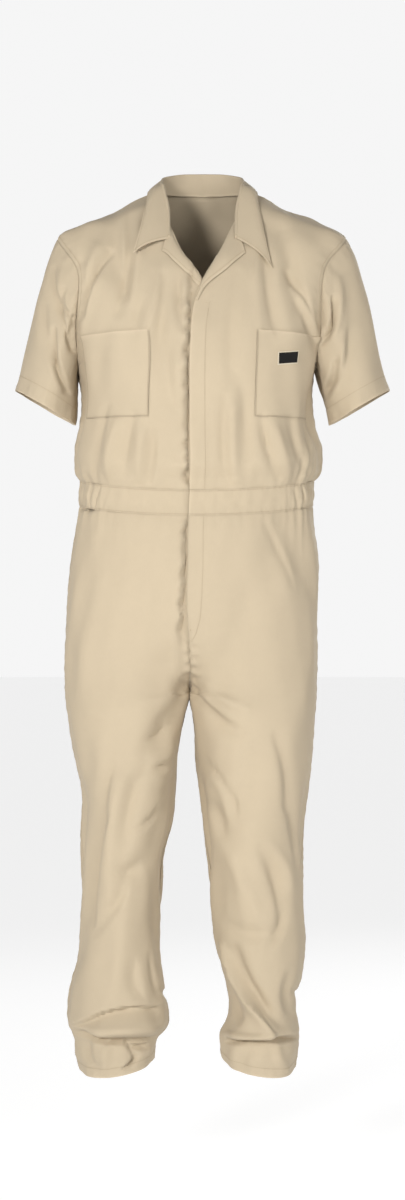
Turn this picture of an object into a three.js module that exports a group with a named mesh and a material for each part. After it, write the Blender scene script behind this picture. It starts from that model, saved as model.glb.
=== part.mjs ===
// A short-sleeved boiler suit, hollow and hanging as it is worn, in millimetres.
// +Z is up, the front faces -Y and the wearer's left is +X. The origin lies midway between the
// two points where the shoulder seams meet the neck. Each cut piece is a thin closed wall.
import * as THREE from "three";

// Driving dimensions
const cloth = 2; // wall of the main panels
const fineCloth = 1.4; // wall of the collar, lapels, pockets and label
const seamGap = 0.3; // between pieces that are sewn edge to edge
const layerGap = 0.6; // between a piece and the panel that it lies on
const armpitLevel = -290;
const neckRise = 2; // the back neckline's height over the shoulder points
const bandSide = -468; // top edge of the waistband at the side seams
const bandFrontDroop = 19; // how much lower the band sits at the centre front
const bandHeight = 41;
const lapelRoll = 4; // the lapel's rise over the front where it rolls
const flyOverlap = 11; // left front past the centre line
const flyUnderlap = 18; // right front past the centre line, under the fly
const flyPast = { left: flyOverlap, right: flyUnderlap };
const flyLift = cloth + 1.4; // left front stands this far outside the right front
const pocketMouthEnd = -672; // lower end of the side pocket's mouth

// How many cells each piece's grid has
const sideCells = 9; // from the centre front to the side seam, and along the shoulder seam
const neckCells = 6; // along the back neckline
const armholeCells = 10; // from the armpit to the shoulder tip
const sleeveCells = 8;
const legCells = 11;

const degree = Math.PI / 180;
const clamp = (x, low, high) => Math.min(Math.max(x, low), high);
const mix = (a, b, t) => a + (b - a) * t;
const ease = (t) => {
  const s = clamp(t, 0, 1);
  return s * s * (3 - 2 * s);
};
const bump = (x, centre, wide) => Math.exp(-(((x - centre) / wide) ** 2));

// Sections of the trunk, from the neck to the crotch: the level, the centre line's place, half
// the width, the depth in front of and behind the side seams, and how square the section is.
const trunkRings = [
  { z: 6, centre: 0, half: 64, front: 34, back: 58, square: 2.2 },
  { z: 0, centre: 0, half: 78, front: 38, back: 62, square: 2.2 },
  { z: -20, centre: 0, half: 119, front: 46, back: 72, square: 2.4 },
  { z: -45, centre: 0, half: 171, front: 59, back: 83, square: 2.6 },
  { z: -75, centre: 0, half: 231, front: 76, back: 93, square: 2.9 },
  { z: -95, centre: -1, half: 236, front: 90, back: 100, square: 2.8 },
  { z: -130, centre: -2, half: 232, front: 110, back: 111, square: 2.6 },
  { z: -180, centre: -4, half: 222, front: 131, back: 121, square: 2.5 },
  { z: -240, centre: -7, half: 206, front: 146, back: 127, square: 2.4 },
  { z: -290, centre: -9, half: 192, front: 149, back: 127, square: 2.35 },
  { z: -340, centre: -9, half: 186, front: 146, back: 124, square: 2.3 },
  { z: -385, centre: -9, half: 191, front: 143, back: 124, square: 2.25 },
  { z: -420, centre: -8, half: 199, front: 142, back: 129, square: 2.25 },
  { z: -448, centre: -8, half: 198, front: 140, back: 130, square: 2.25 },
  { z: -464, centre: -9, half: 190, front: 133, back: 120, square: 2.25 },
  { z: -480, centre: -9, half: 187, front: 127, back: 111, square: 2.25 },
  { z: -508, centre: -10, half: 188, front: 126, back: 111, square: 2.25 },
  { z: -530, centre: -11, half: 190, front: 130, back: 120, square: 2.25 },
  { z: -600, centre: -13, half: 197, front: 135, back: 138, square: 2.3 },
  { z: -680, centre: -17, half: 203, front: 133, back: 147, square: 2.35 },
  { z: -760, centre: -19, half: 204, front: 127, back: 143, square: 2.4 },
  { z: -830, centre: -19, half: 203, front: 119, back: 136, square: 2.4 },
];

// Sections of the two legs: how far the inseam and the outseam lie from the middle plane, and
// the depth in front of and behind the seams. Each leg has the photo's own outline and breaks.
const rightLegRings = [
  { z: -700, inner: 21, outer: 222, front: 117, back: 133, square: 2.3 },
  { z: -815, inner: 21, outer: 222, front: 116, back: 130, square: 2.2 },
  { z: -850, inner: 31, outer: 218, front: 114, back: 125, square: 2.1 },
  { z: -920, inner: 40, outer: 206, front: 109, back: 117, square: 2.05 },
  { z: -985, inner: 45, outer: 194, front: 105, back: 107, square: 2 },
  { z: -1034, inner: 49, outer: 197, front: 100, back: 98, square: 2 },
  { z: -1082, inner: 61, outer: 199, front: 96, back: 94, square: 2 },
  { z: -1147, inner: 63, outer: 199, front: 91, back: 98, square: 2 },
  { z: -1205, inner: 69, outer: 198, front: 87, back: 107, square: 2 },
  { z: -1244, inner: 67, outer: 204, front: 86, back: 109, square: 2.05 },
  { z: -1285, inner: 61, outer: 213, front: 88, back: 105, square: 2.1 },
  { z: -1320, inner: 57, outer: 217, front: 91, back: 99, square: 2.15 },
  { z: -1346, inner: 57, outer: 217, front: 94, back: 94, square: 2.15 },
  { z: -1358, inner: 64, outer: 212, front: 85, back: 86, square: 2.1 },
  { z: -1372, inner: 74, outer: 206, front: 80, back: 82, square: 2.1 },
  { z: -1392, inner: 78, outer: 205, front: 82, back: 84, square: 2.1 },
  { z: -1410, inner: 79, outer: 200, front: 79, back: 81, square: 2.1 },
  { z: -1432, inner: 80, outer: 197, front: 76, back: 78, square: 2.1 },
];
const leftLegRings = [
  { z: -700, inner: -21, outer: 184, front: 117, back: 133, square: 2.3 },
  { z: -815, inner: -21, outer: 185, front: 116, back: 130, square: 2.2 },
  { z: -850, inner: -15, outer: 182, front: 114, back: 125, square: 2.1 },
  { z: -920, inner: -10, outer: 176, front: 109, back: 117, square: 2.05 },
  { z: -985, inner: -3, outer: 171, front: 105, back: 107, square: 2 },
  { z: -1034, inner: 2, outer: 166, front: 100, back: 98, square: 2 },
  { z: -1082, inner: 7, outer: 166, front: 96, back: 94, square: 2 },
  { z: -1147, inner: 10, outer: 167, front: 91, back: 98, square: 2 },
  { z: -1205, inner: 18, outer: 167, front: 87, back: 107, square: 2 },
  { z: -1244, inner: 27, outer: 163, front: 85, back: 109, square: 2.05 },
  { z: -1285, inner: 39, outer: 154, front: 83, back: 105, square: 2.05 },
  { z: -1313, inner: 46, outer: 149, front: 84, back: 99, square: 2.1 },
  { z: -1340, inner: 40, outer: 154, front: 93, back: 94, square: 2.1 },
  { z: -1354, inner: 31, outer: 157, front: 94, back: 90, square: 2.15 },
  { z: -1366, inner: 29, outer: 157, front: 83, back: 84, square: 2.1 },
  { z: -1388, inner: 29, outer: 156, front: 84, back: 85, square: 2.1 },
  { z: -1408, inner: 33, outer: 152, front: 80, back: 82, square: 2.1 },
  { z: -1434, inner: 38, outer: 149, front: 77, back: 79, square: 2.1 },
];

// Rows of a leg, from the band to the hem: the level at the inner seam and at the outseam, and
// how far the row has passed from the trunk's section to the leg's own, how far the left front
// laps over the centre line, how far the right one goes on under it, and how much lower the front
// of the row hangs.
const legRows = [
  { inner: -530, outer: -512, share: 0, lap: 11, under: 18 },
  { inner: -562, outer: -545, share: 0, lap: 11, under: 18 },
  { inner: -605, outer: -588, share: 0, lap: 10, under: 17 },
  { inner: -650, outer: -632, share: 0, lap: 9, under: 14 },
  { inner: -692, outer: pocketMouthEnd, share: 0.01, lap: 6, under: -6 },
  { inner: -728, outer: -706, share: 0.06 },
  { inner: -756, outer: -738, share: 0.17 },
  { inner: -779, outer: -768, share: 0.35 },
  { inner: -796, outer: -796, share: 0.57 },
  { inner: -808, outer: -822, share: 0.8 },
  { inner: -815, outer: -846, share: 1 },
  { inner: -850, outer: -882, share: 1 },
  { inner: -905, outer: -928, share: 1 },
  { inner: -962, outer: -975, share: 1 },
  { inner: -1018, outer: -1022, share: 1 },
  { inner: -1072, outer: -1072, share: 1 },
  { inner: -1125, outer: -1125, share: 1 },
  { inner: -1178, outer: -1178, share: 1 },
  { inner: -1226, outer: -1226, share: 1 },
  { inner: -1266, outer: -1266, share: 1 },
  { inner: -1298, outer: -1298, share: 1 },
  { inner: -1324, outer: -1324, share: 1 },
  { inner: -1344, outer: -1344, share: 1 },
  { inner: -1357, outer: -1357, share: 1 },
  { inner: -1370, outer: -1370, share: 1 },
  { inner: -1383, outer: -1387, share: 1, droop: 4 },
  { inner: -1392, outer: -1402, share: 1, droop: 9 },
  { inner: -1398, outer: -1416, share: 1, droop: 14 },
];

// The armhole in side view, from the armpit up to the shoulder tip.
const armhole = [
  { t: 0, z: armpitLevel, front: 0, back: 0 },
  { t: 0.1, z: -286, front: 23, back: 22 },
  { t: 0.2, z: -274, front: 41, back: 43 },
  { t: 0.3, z: -253, front: 56, back: 60 },
  { t: 0.4, z: -224, front: 68, back: 71 },
  { t: 0.5, z: -190, front: 78, back: 76 },
  { t: 0.6, z: -156, front: 79, back: 73 },
  { t: 0.7, z: -126, front: 70, back: 64 },
  { t: 0.8, z: -101, front: 51, back: 48 },
  { t: 0.9, z: -83, front: 27, back: 27 },
  { t: 1, z: -75, front: 0, back: 0 },
];

// The inner edge of each front, from the armpit level past the lapel's break and up its roll
// line to the neck. The distance is from the middle plane towards that front's own side.
const leftEdge = [
  { t: 0, z: armpitLevel, x: -20 },
  { t: 0.1, z: -256, x: -19 },
  { t: 0.2, z: -222, x: -17 },
  { t: 0.3, z: -189, x: -12 },
  { t: 0.4, z: -163, x: -4 },
  { t: 0.5, z: -134, x: 11 },
  { t: 0.6, z: -106, x: 28 },
  { t: 0.7, z: -77, x: 41 },
  { t: 0.8, z: -49, x: 54 },
  { t: 0.9, z: -21, x: 68 },
  { t: 1, z: 0, x: 78 },
];
const rightEdge = [
  { t: 0, z: armpitLevel, x: -9 },
  { t: 0.1, z: -256, x: -10 },
  { t: 0.2, z: -222, x: -10 },
  { t: 0.3, z: -189, x: -8 },
  { t: 0.4, z: -161, x: -3 },
  { t: 0.5, z: -133, x: 13 },
  { t: 0.6, z: -106, x: 33 },
  { t: 0.7, z: -77, x: 46 },
  { t: 0.8, z: -49, x: 57 },
  { t: 0.9, z: -21, x: 69 },
  { t: 1, z: 0, x: 78 },
];

// The collar along one half, from the centre back to its point: the seam at the neck, the fold
// on top and the free edge, which hangs lower at the wearer's left.
const collarStations = [
  { t: 0, bx: 0, by: 60, bz: 4, fx: 0, fy: 66, fz: 36, ex: 0, ey: 86, ez: -14, leftDrop: 0 },
  { t: 0.14, bx: 26, by: 56, bz: 4, fx: 27, fy: 61, fz: 35, ex: 38, ey: 82, ez: -15, leftDrop: 0 },
  { t: 0.28, bx: 52, by: 42, bz: 3, fx: 51, fy: 44, fz: 30, ex: 71, ey: 60, ez: -13, leftDrop: 0 },
  { t: 0.42, bx: 71, by: 18, bz: 2, fx: 65, fy: 18, fz: 22, ex: 85, ey: 28, ez: -6, leftDrop: 0 },
  { t: 0.54, bx: 75, by: -8, bz: -1, fx: 66, fy: -7, fz: 10, ex: 88, ey: -10, ez: -7, leftDrop: 0 },
  { t: 0.68, bx: 68, by: -36, bz: -20, fx: 62, fy: -34, fz: -9, ex: 91, ey: -47, ez: -26, leftDrop: 3 },
  { t: 0.84, bx: 58, by: -60, bz: -47, fx: 54, fy: -62, fz: -42, ex: 99, ey: -84, ez: -68, leftDrop: 12 },
  { t: 1, bx: 57, by: -88, bz: -92, fx: 53, fy: -91, fz: -87, ex: 110, ey: -110, ez: -112, leftDrop: 23 },
];

// The largest folds of the front and the back: the ends of each as x and z, and its half width
// and height, which is negative for a trough.
const folds = [
  { face: "front", x0: -138, z0: -60, x1: -126, z1: -170, wide: 17, high: -7 },
  { face: "front", x0: 128, z0: -75, x1: 150, z1: -215, wide: 18, high: -7 },
  { face: "front", x0: -62, z0: -150, x1: -58, z1: -350, wide: 16, high: -6 },
  { face: "front", x0: 66, z0: -330, x1: 60, z1: -446, wide: 15, high: -6 },
  { face: "front", x0: 128, z0: -385, x1: 150, z1: -446, wide: 14, high: -7 },
  { face: "front", x0: -110, z0: -385, x1: -124, z1: -446, wide: 15, high: -6 },
  { face: "front", x0: -12, z0: -815, x1: 62, z1: -872, wide: 18, high: -7 },
  { face: "front", x0: -34, z0: -815, x1: -92, z1: -905, wide: 18, high: -7 },
  { face: "front", x0: -60, z0: -1000, x1: -118, z1: -1090, wide: 20, high: -7 },
  { face: "front", x0: 28, z0: -985, x1: 84, z1: -1090, wide: 18, high: -5 },
  { face: "front", x0: 52, z0: -1270, x1: 112, z1: -1352, wide: 12, high: 10 },
  { face: "front", x0: -160, z0: -1030, x1: -166, z1: -1230, wide: 18, high: -6 },
  { face: "front", x0: 132, z0: -960, x1: 128, z1: -1200, wide: 20, high: -6 },
  { face: "back", x0: -120, z0: -110, x1: -90, z1: -330, wide: 24, high: -8 },
  { face: "back", x0: 120, z0: -110, x1: 90, z1: -330, wide: 24, high: -8 },
  { face: "back", x0: -64, z0: -330, x1: -58, z1: -446, wide: 18, high: -8 },
  { face: "back", x0: 54, z0: -340, x1: 48, z1: -446, wide: 18, high: -8 },
  { face: "back", x0: -132, z0: -360, x1: -124, z1: -446, wide: 18, high: -8 },
  { face: "back", x0: 118, z0: -360, x1: 108, z1: -446, wide: 18, high: -8 },
  { face: "back", x0: -28, z0: -800, x1: -120, z1: -900, wide: 22, high: -9 },
  { face: "back", x0: -12, z0: -800, x1: 92, z1: -905, wide: 22, high: -9 },
  { face: "back", x0: -66, z0: -1080, x1: -190, z1: -1120, wide: 18, high: -8 },
  { face: "back", x0: 14, z0: -1075, x1: 150, z1: -1115, wide: 18, high: -8 },
];

// A smooth curve through a table's rows. It gives every column at one value of the key.
function through(table, key) {
  const names = Object.keys(table[0]).filter((name) => name !== key);
  const last = table.length - 1;
  const along = Math.sign(table[last][key] - table[0][key]);
  const rise = (name, i) => {
    const [from, to] = [table[clamp(i, 0, last - 1)], table[clamp(i + 1, 1, last)]];
    return (to[name] - from[name]) / (to[key] - from[key]);
  };
  const slope = (name, i) => {
    const [before, after] = [rise(name, i - 1), rise(name, i)];
    return before * after <= 0 ? 0 : (2 * before * after) / (before + after);
  };
  return (at) => {
    let i = 0;
    while (i < last - 1 && (at - table[i + 1][key]) * along > 0) i += 1;
    const span = table[i + 1][key] - table[i][key];
    const t = clamp((at - table[i][key]) / span, 0, 1);
    const found = {};
    for (const name of names) {
      const start = table[i][name];
      const end = table[i + 1][name];
      const leave = slope(name, i) * span;
      const arrive = slope(name, i + 1) * span;
      found[name] =
        start +
        t * leave +
        t * t * (3 * (end - start) - 2 * leave - arrive) +
        t * t * t * (2 * (start - end) + leave + arrive);
    }
    return found;
  };
}

const trunkAt = through(trunkRings, "z");
const armholeAt = through(armhole, "t");
const collarAt = through(collarStations, "t");
const legAt = { left: through(leftLegRings, "z"), right: through(rightLegRings, "z") };
const edgeAt = { left: through(leftEdge, "t"), right: through(rightEdge, "t") };
const sideOf = { left: 1, right: -1 };

// How far a rounded section of unit size reaches at an angle from the front.
function reach(angle, square) {
  const across = Math.abs(Math.sin(angle)) ** square;
  const deep = Math.abs(Math.cos(angle)) ** square;
  return (across + deep) ** (-1 / square);
}

function onTrunk(angle, z) {
  const ring = trunkAt(z);
  const r = reach(angle, ring.square);
  const depth = Math.cos(angle) > 0 ? ring.front : ring.back;
  const x = ring.centre + ring.half * Math.sin(angle) * r;
  return new THREE.Vector3(x, -depth * Math.cos(angle) * r, z);
}

// A leg's section. The angle is 0 in front, 90 degrees at the outseam and 270 at the inseam.
function onLeg(side, angle, z) {
  const ring = legAt[side](z);
  const r = reach(angle, ring.square);
  const depth = Math.cos(angle) > 0 ? ring.front : ring.back;
  const middle = (ring.outer + ring.inner) / 2;
  const x = middle + ((ring.outer - ring.inner) / 2) * Math.sin(angle) * r;
  return new THREE.Vector3(sideOf[side] * x, -depth * Math.cos(angle) * r, z);
}

// The trunk's angle, between two others, where a measure of the point there has a given value.
function angleWhere(measure, wanted, low, high) {
  let [from, to] = [low, high];
  const rising = measure(high) > measure(low);
  for (let step = 0; step < 40; step += 1) {
    const middle = (from + to) / 2;
    if (measure(middle) < wanted === rising) from = middle;
    else to = middle;
  }
  return (from + to) / 2;
}

// Height of the cloth over its plain form where the folds run.
function foldHeight(point, normal) {
  const face = normal.y < 0 ? "front" : "back";
  const facing = ease(Math.abs(normal.y) * 1.6);
  let height = 0;
  for (const fold of folds) {
    if (fold.face !== face) continue;
    const along = new THREE.Vector2(fold.x1 - fold.x0, fold.z1 - fold.z0);
    const from = new THREE.Vector2(point.x - fold.x0, point.z - fold.z0);
    const t = clamp(from.dot(along) / along.lengthSq(), 0, 1);
    const away = from.addScaledVector(along, -t).length();
    height += fold.high * bump(away, 0, fold.wide) * (0.45 + 0.55 * Math.sin(Math.PI * t));
  }
  return height * facing;
}

// A grid of points with the outward normal at each. A mirrored grid runs the other way round.
function normalsOf(points, turned) {
  const rows = points.length - 1;
  const cells = points[0].length - 1;
  return points.map((row, i) =>
    row.map((_, j) => {
      const up = new THREE.Vector3().subVectors(
        points[Math.min(i + 1, rows)][j],
        points[Math.max(i - 1, 0)][j],
      );
      const across = new THREE.Vector3().subVectors(
        points[i][Math.min(j + 1, cells)],
        points[i][Math.max(j - 1, 0)],
      );
      const normal = across.cross(up).normalize();
      return turned ? normal.negate() : normal;
    }),
  );
}

function grid(rows, cells, at, turned = false) {
  const points = [];
  for (let i = 0; i <= rows; i += 1) {
    points.push([]);
    for (let j = 0; j <= cells; j += 1) points[i].push(at(j / cells, i / rows, j, i));
  }
  return { points, normals: normalsOf(points, turned), turned };
}

// Folds are laid into sewn panels along their normals.
function drape(panels) {
  sew(panels);
  for (const panel of panels) {
    panel.points.forEach((row, i) =>
      row.forEach((point, j) => {
        const normal = panel.normals[i][j];
        point.addScaledVector(normal, foldHeight(point, normal));
      }),
    );
    panel.normals = normalsOf(panel.points, panel.turned);
  }
  sew(panels);
}

// The normals of pieces that share a seam are made the same, so that their edges stand parallel.
function sew(panels) {
  const edges = [];
  for (const { points, normals } of panels) {
    points.forEach((row, i) =>
      row.forEach((point, j) => {
        const inside = i > 0 && j > 0 && i < points.length - 1 && j < row.length - 1;
        if (!inside) edges.push({ point, normal: normals[i][j], own: normals[i][j].clone() });
      }),
    );
  }
  const near = 0.05;
  for (const edge of edges) {
    const sum = new THREE.Vector3();
    for (const other of edges) {
      if (edge.point.distanceTo(other.point) < near) sum.add(other.own);
    }
    edge.normal.copy(sum.normalize());
  }
}

// Each edge draws back from its seam.
function trim(points, back) {
  const rows = points.length - 1;
  const cells = points[0].length - 1;
  const towards = (from, to) => {
    const step = to.clone().sub(from);
    return from.clone().addScaledVector(step.normalize(), back);
  };
  const rowsTrimmed = points.map((row, i) => {
    if (i === 0) return row.map((point, j) => towards(point, points[1][j]));
    if (i === rows) return row.map((point, j) => towards(point, points[rows - 1][j]));
    return row;
  });
  return rowsTrimmed.map((row) =>
    row.map((point, j) => {
      if (j === 0) return towards(point, row[1]);
      if (j === cells) return towards(point, row[cells - 1]);
      return point;
    }),
  );
}

// A closed wall between two heights over a grid of points.
function wallBetween(panel, low, high, back = seamGap / 2) {
  const base = back ? trim(panel.points, back) : panel.points;
  const lift = (height) =>
    base.map((row, i) =>
      row.map((point, j) => point.clone().addScaledVector(panel.normals[i][j], height)),
    );
  const rows = base.length;
  const columns = base[0].length;
  const count = rows * columns;
  const positions = [...lift(high), ...lift(low)].flat().flatMap((point) => point.toArray());
  const index = [];
  const face = (a, b, c, d) => {
    if (panel.turned) index.push(a, c, b, a, d, c);
    else index.push(a, b, c, a, c, d);
  };
  for (let i = 0; i < rows - 1; i += 1) {
    for (let j = 0; j < columns - 1; j += 1) {
      const a = i * columns + j;
      const [b, c, d] = [a + 1, a + columns + 1, a + columns];
      face(a, b, c, d);
      face(a + count, d + count, c + count, b + count);
    }
  }
  const rim = [];
  for (let j = 0; j < columns - 1; j += 1) rim.push(j);
  for (let i = 0; i < rows - 1; i += 1) rim.push(i * columns + columns - 1);
  for (let j = columns - 1; j > 0; j -= 1) rim.push((rows - 1) * columns + j);
  for (let i = rows - 1; i > 0; i -= 1) rim.push(i * columns);
  rim.forEach((a, k) => {
    const b = rim[(k + 1) % rim.length];
    face(a, a + count, b + count, b);
  });
  const geometry = new THREE.BufferGeometry();
  geometry.setAttribute("position", new THREE.Float32BufferAttribute(positions, 3));
  geometry.setIndex(index);
  geometry.computeVertexNormals();
  return geometry;
}

const khaki = () => new THREE.MeshStandardMaterial({ color: 0xd6c7a8, roughness: 0.85, metalness: 0 });
const black = () => new THREE.MeshStandardMaterial({ color: 0x1d1b1c, roughness: 0.7, metalness: 0 });

function piece(name, geometry, material = khaki()) {
  const mesh = new THREE.Mesh(geometry, material);
  mesh.name = name;
  return mesh;
}

// The waistband's top edge droops towards the centre front.
function bandTop(angle) {
  const front = Math.max(Math.cos(angle), 0) ** 1.5;
  return bandSide - bandFrontDroop * front;
}

const bandBottom = (angle) => bandTop(angle) - bandHeight;

// The trunk's angle where a front's overlapping edge lies, at a level.
function edgeAngle(side, z, past) {
  const wanted = trunkAt(z).centre - sideOf[side] * past;
  return sideOf[side] * angleWhere((a) => sideOf[side] * onTrunk(sideOf[side] * a, z).x,
    sideOf[side] * wanted, -40 * degree, 90 * degree);
}

// The right front lies under the left one near the centre line.
function sinkUnderFly(panel, shareOf) {
  panel.points.forEach((row, i) =>
    row.forEach((point, j) => {
      const past = point.x - trunkAt(point.z).centre + flyOverlap;
      const sink = flyLift * shareOf(i) * ease(1 + past / 16);
      point.addScaledVector(panel.normals[i][j], -sink);
    }),
  );
}

// Rows of the bodice below the armpit, as shares of the way from the band to the armpit.
const bodiceRows = [0, 0.09, 0.19, 0.31, 0.46, 0.64, 0.82];

// Angle and level on the trunk, for a front's point from its inner edge to the side seam.
function frontSpot(side, u, row) {
  const sign = sideOf[side];
  if (row < bodiceRows.length) {
    const share = bodiceRows[row];
    const level = (angle) => mix(bandTop(angle), armpitLevel, share);
    const start = sign * edgeAngle(side, level(0), flyPast[side]);
    const angle = mix(start, 90 * degree, u);
    return { angle, z: level(angle) };
  }
  const t = (row - bodiceRows.length) / armholeCells;
  const hole = armholeAt(t);
  const edge = edgeAt[side](t);
  const outer =
    t === 0 || t === 1
      ? 90 * degree
      : angleWhere((a) => -onTrunk(a, hole.z).y, hole.front, 30 * degree, 90 * degree);
  const inner =
    t === 1
      ? 90 * degree
      : angleWhere((a) => sign * onTrunk(sign * a, edge.z).x, edge.x, -30 * degree, 89 * degree);
  return { angle: mix(inner, outer, u), z: mix(edge.z, hole.z, u) };
}

const bodiceCount = bodiceRows.length + armholeCells;

function frontPanel(side) {
  const sign = sideOf[side];
  const at = (u, v, j, row) => {
    const spot = frontSpot(side, u, row);
    return onTrunk(sign * spot.angle, spot.z);
  };
  return grid(bodiceCount, sideCells, at, sign < 0);
}

// Where the trunk's back surface passes a place across the body, at a level.
function backAt(x, z) {
  const ring = trunkAt(z);
  const across = clamp(Math.abs(x - ring.centre) / ring.half, 0, 1);
  return new THREE.Vector3(x, ring.back * (1 - across ** ring.square) ** (1 / ring.square), z);
}

// The level at which the back ends above a place across the body: the shoulder seam, or the
// neckline where the place lies inside it.
function backEnd(x) {
  const [neck, tip] = [trunkAt(0), trunkAt(armholeAt(1).z)];
  const inside = Math.abs(x - neck.centre) / neck.half;
  if (inside < 1) return neckRise * Math.cos((Math.PI / 2) * inside);
  if (Math.abs(x - tip.centre) >= tip.half) return armholeAt(1).z;
  let [low, high] = [armholeAt(1).z, 0];
  for (let step = 0; step < 30; step += 1) {
    const middle = (low + high) / 2;
    const ring = trunkAt(middle);
    if (Math.abs(x - ring.centre) < ring.half) low = middle;
    else high = middle;
  }
  return (low + high) / 2;
}

// A point some share of the way up the back, from the armpit's level over the shoulder.
function upTheBack(x, share) {
  const steps = 60;
  const top = backEnd(x);
  const path = [];
  const lengths = [0];
  for (let k = 0; k <= steps; k += 1) {
    path.push(backAt(x, top - (top - armpitLevel) * (1 - k / steps) ** 2));
    if (k > 0) lengths.push(lengths[k - 1] + path[k].distanceTo(path[k - 1]));
  }
  const wanted = share * lengths[steps];
  let k = 1;
  while (k < steps && lengths[k] < wanted) k += 1;
  return path[k - 1].lerp(path[k], (wanted - lengths[k - 1]) / (lengths[k] - lengths[k - 1]));
}

// The back's top edge runs up one shoulder seam, round the neckline and down the other.
function backTopX(j) {
  const across = 2 * sideCells + neckCells;
  const shoulder = Math.min(j, across - j) / sideCells;
  const sign = j > across / 2 ? -1 : 1;
  if (shoulder > 1) return trunkAt(0).half * Math.cos((Math.PI * (j - sideCells)) / neckCells);
  return sign * trunkAt(mix(armholeAt(1).z, 0, shoulder)).half;
}

// The trunk's angle on the armhole's back edge.
function backHoleAngle(t) {
  const hole = armholeAt(t);
  if (t === 0 || t === 1) return 90 * degree;
  return angleWhere((a) => onTrunk(a, hole.z).y, hole.back, 90 * degree, 160 * degree);
}

function backPanel() {
  const across = 2 * sideCells + neckCells;
  const at = (u, v, j, row) => {
    const plain = mix(90, 270, u) * degree;
    if (row < bodiceRows.length) {
      return onTrunk(plain, mix(bandTop(plain), armpitLevel, bodiceRows[row]));
    }
    const t = (row - bodiceRows.length) / armholeCells;
    const hole = armholeAt(t);
    const side = backHoleAngle(t);
    const sideward = u < 0.5 ? side : 360 * degree - side;
    if (j === 0 || j === across) return onTrunk(sideward, hole.z);
    const [low, high] = [armpitLevel, armholeAt(1).z].map((z) => onTrunk(sideward, z).x);
    const drawn = onTrunk(sideward, hole.z).x - mix(low, high, t);
    const x = mix(onTrunk(plain, armpitLevel).x, backTopX(j), t) + drawn * (1 - 2 * u) ** 2;
    const inward = ease(8 * Math.min(u, 1 - u));
    const plainLevel = mix(armpitLevel, backEnd(backTopX(j)), t);
    const byHole = plainLevel + hole.z - mix(armpitLevel, armholeAt(1).z, t);
    const neck = clamp((j - sideCells) / neckCells, 0, 1);
    const wide = Math.max(Math.abs(x), trunkAt(0).half + 1);
    const shoulders = mix(upTheBack(wide, t).z, upTheBack(-wide, t).z, neck);
    const z = mix(byHole, shoulders + t * Math.max(backEnd(backTopX(j)), 0), inward);
    const ring = trunkAt(z);
    const share = clamp((x - ring.centre) / ring.half, -1, 1);
    const byPlace = angleWhere(
      (a) => (onTrunk(a, z).x - ring.centre) / ring.half, share, 90 * degree, 270 * degree,
    );
    const byAngle = plain + (side - 90 * degree) * (1 - 2 * u);
    return onTrunk(mix(byAngle, byPlace, ease(t * 2)), z);
  };
  return grid(bodiceCount, across, at);
}

// A sleeve runs from its armhole, out over the shoulder tip, to a hem whose ring is tilted.
const sleeveHem = { x: 254, y: 2, z: -350, half: 56, depth: 72, square: 1.8, tilt: 30 * degree };

function hemPoint(angle) {
  const r = reach(angle, sleeveHem.square);
  const across = -sleeveHem.half * Math.cos(angle) * r;
  return new THREE.Vector3(
    sleeveHem.x + across * Math.cos(sleeveHem.tilt),
    sleeveHem.y - sleeveHem.depth * Math.sin(angle) * r,
    sleeveHem.z + across * Math.sin(sleeveHem.tilt),
  );
}

function sleevePanel(side, front, back) {
  const sign = sideOf[side];
  const ring = 2 * armholeCells;
  const first = bodiceRows.length;
  const start = (j) => {
    const row = first + Math.min(j, ring - j);
    if (j <= armholeCells) return front.points[row][sideCells];
    const column = sign > 0 ? 0 : back.points[row].length - 1;
    return back.points[row][column];
  };
  const at = (u, v, j) => {
    const from = start(j);
    const hem = hemPoint(u * 360 * degree);
    hem.x *= sign;
    const top = Math.sin(Math.PI * u) ** 2;
    const out = Math.sin(2 * Math.PI * u);
    const leave = new THREE.Vector3(
      sign * mix(14, 112, top),
      -30 * out,
      mix(-86, -215, top),
    );
    const arrive = new THREE.Vector3(sign * mix(16, 62, top), -14 * out, mix(-86, -235, top));
    const [a, b, c] = [v, v * v, v * v * v];
    return new THREE.Vector3()
      .addScaledVector(from, 1 - 3 * b + 2 * c)
      .addScaledVector(leave, a - 2 * b + c)
      .addScaledVector(hem, 3 * b - 2 * c)
      .addScaledVector(arrive, c - b);
  };
  return grid(sleeveCells, ring, at, sign > 0);
}

// The waistband lies between the bodice and the legs. Its back is gathered by elastic, from one
// side of the front round to the other.
const elasticStart = 62 * degree;
const gathers = 30;
const gatherHeight = 3.2;

function bandPanel(from, to, cells, gathered) {
  const rows = 2;
  const at = (u, v) => {
    const angle = mix(from, to, u);
    const z = mix(bandBottom(angle), bandTop(angle), v);
    const point = onTrunk(angle, z);
    const outward = new THREE.Vector3(point.x, point.y, 0).normalize();
    const wave = 0.5 - 0.5 * Math.cos(2 * Math.PI * gathers * u);
    const puff = 1.4 * Math.sin(Math.PI * v);
    return point.addScaledVector(outward, puff + (gathered ? gatherHeight * wave : 0));
  };
  return grid(rows, cells, at);
}

function legPanel(side, face) {
  const sign = sideOf[side];
  const rows = legRows.length - 1;
  const at = (u, v, j, i) => {
    const row = legRows[i];
    const front = face === "front";
    const across = front ? u : 1 - u;
    const past = (side === "left" ? row.lap : row.under) ?? 0;
    const start = front ? sign * edgeAngle(side, row.inner, past) : 180 * degree;
    const trunkAngle = mix(start, 90 * degree, across);
    const legAngle = (front ? -90 + across * 180 : 270 - across * 180) * degree;
    const hang = front ? (row.droop ?? 0) * Math.sin(Math.PI * across) : 0;
    const plain = mix(row.inner, row.outer, ease(across)) - hang;
    const z = i === 0 ? bandBottom(trunkAngle) : plain;
    const trunk = onTrunk(sign * trunkAngle, z);
    const leg = onLeg(side, legAngle, z);
    return trunk.lerp(leg, row.share);
  };
  return grid(rows, legCells, at, sign > 0);
}

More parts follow.
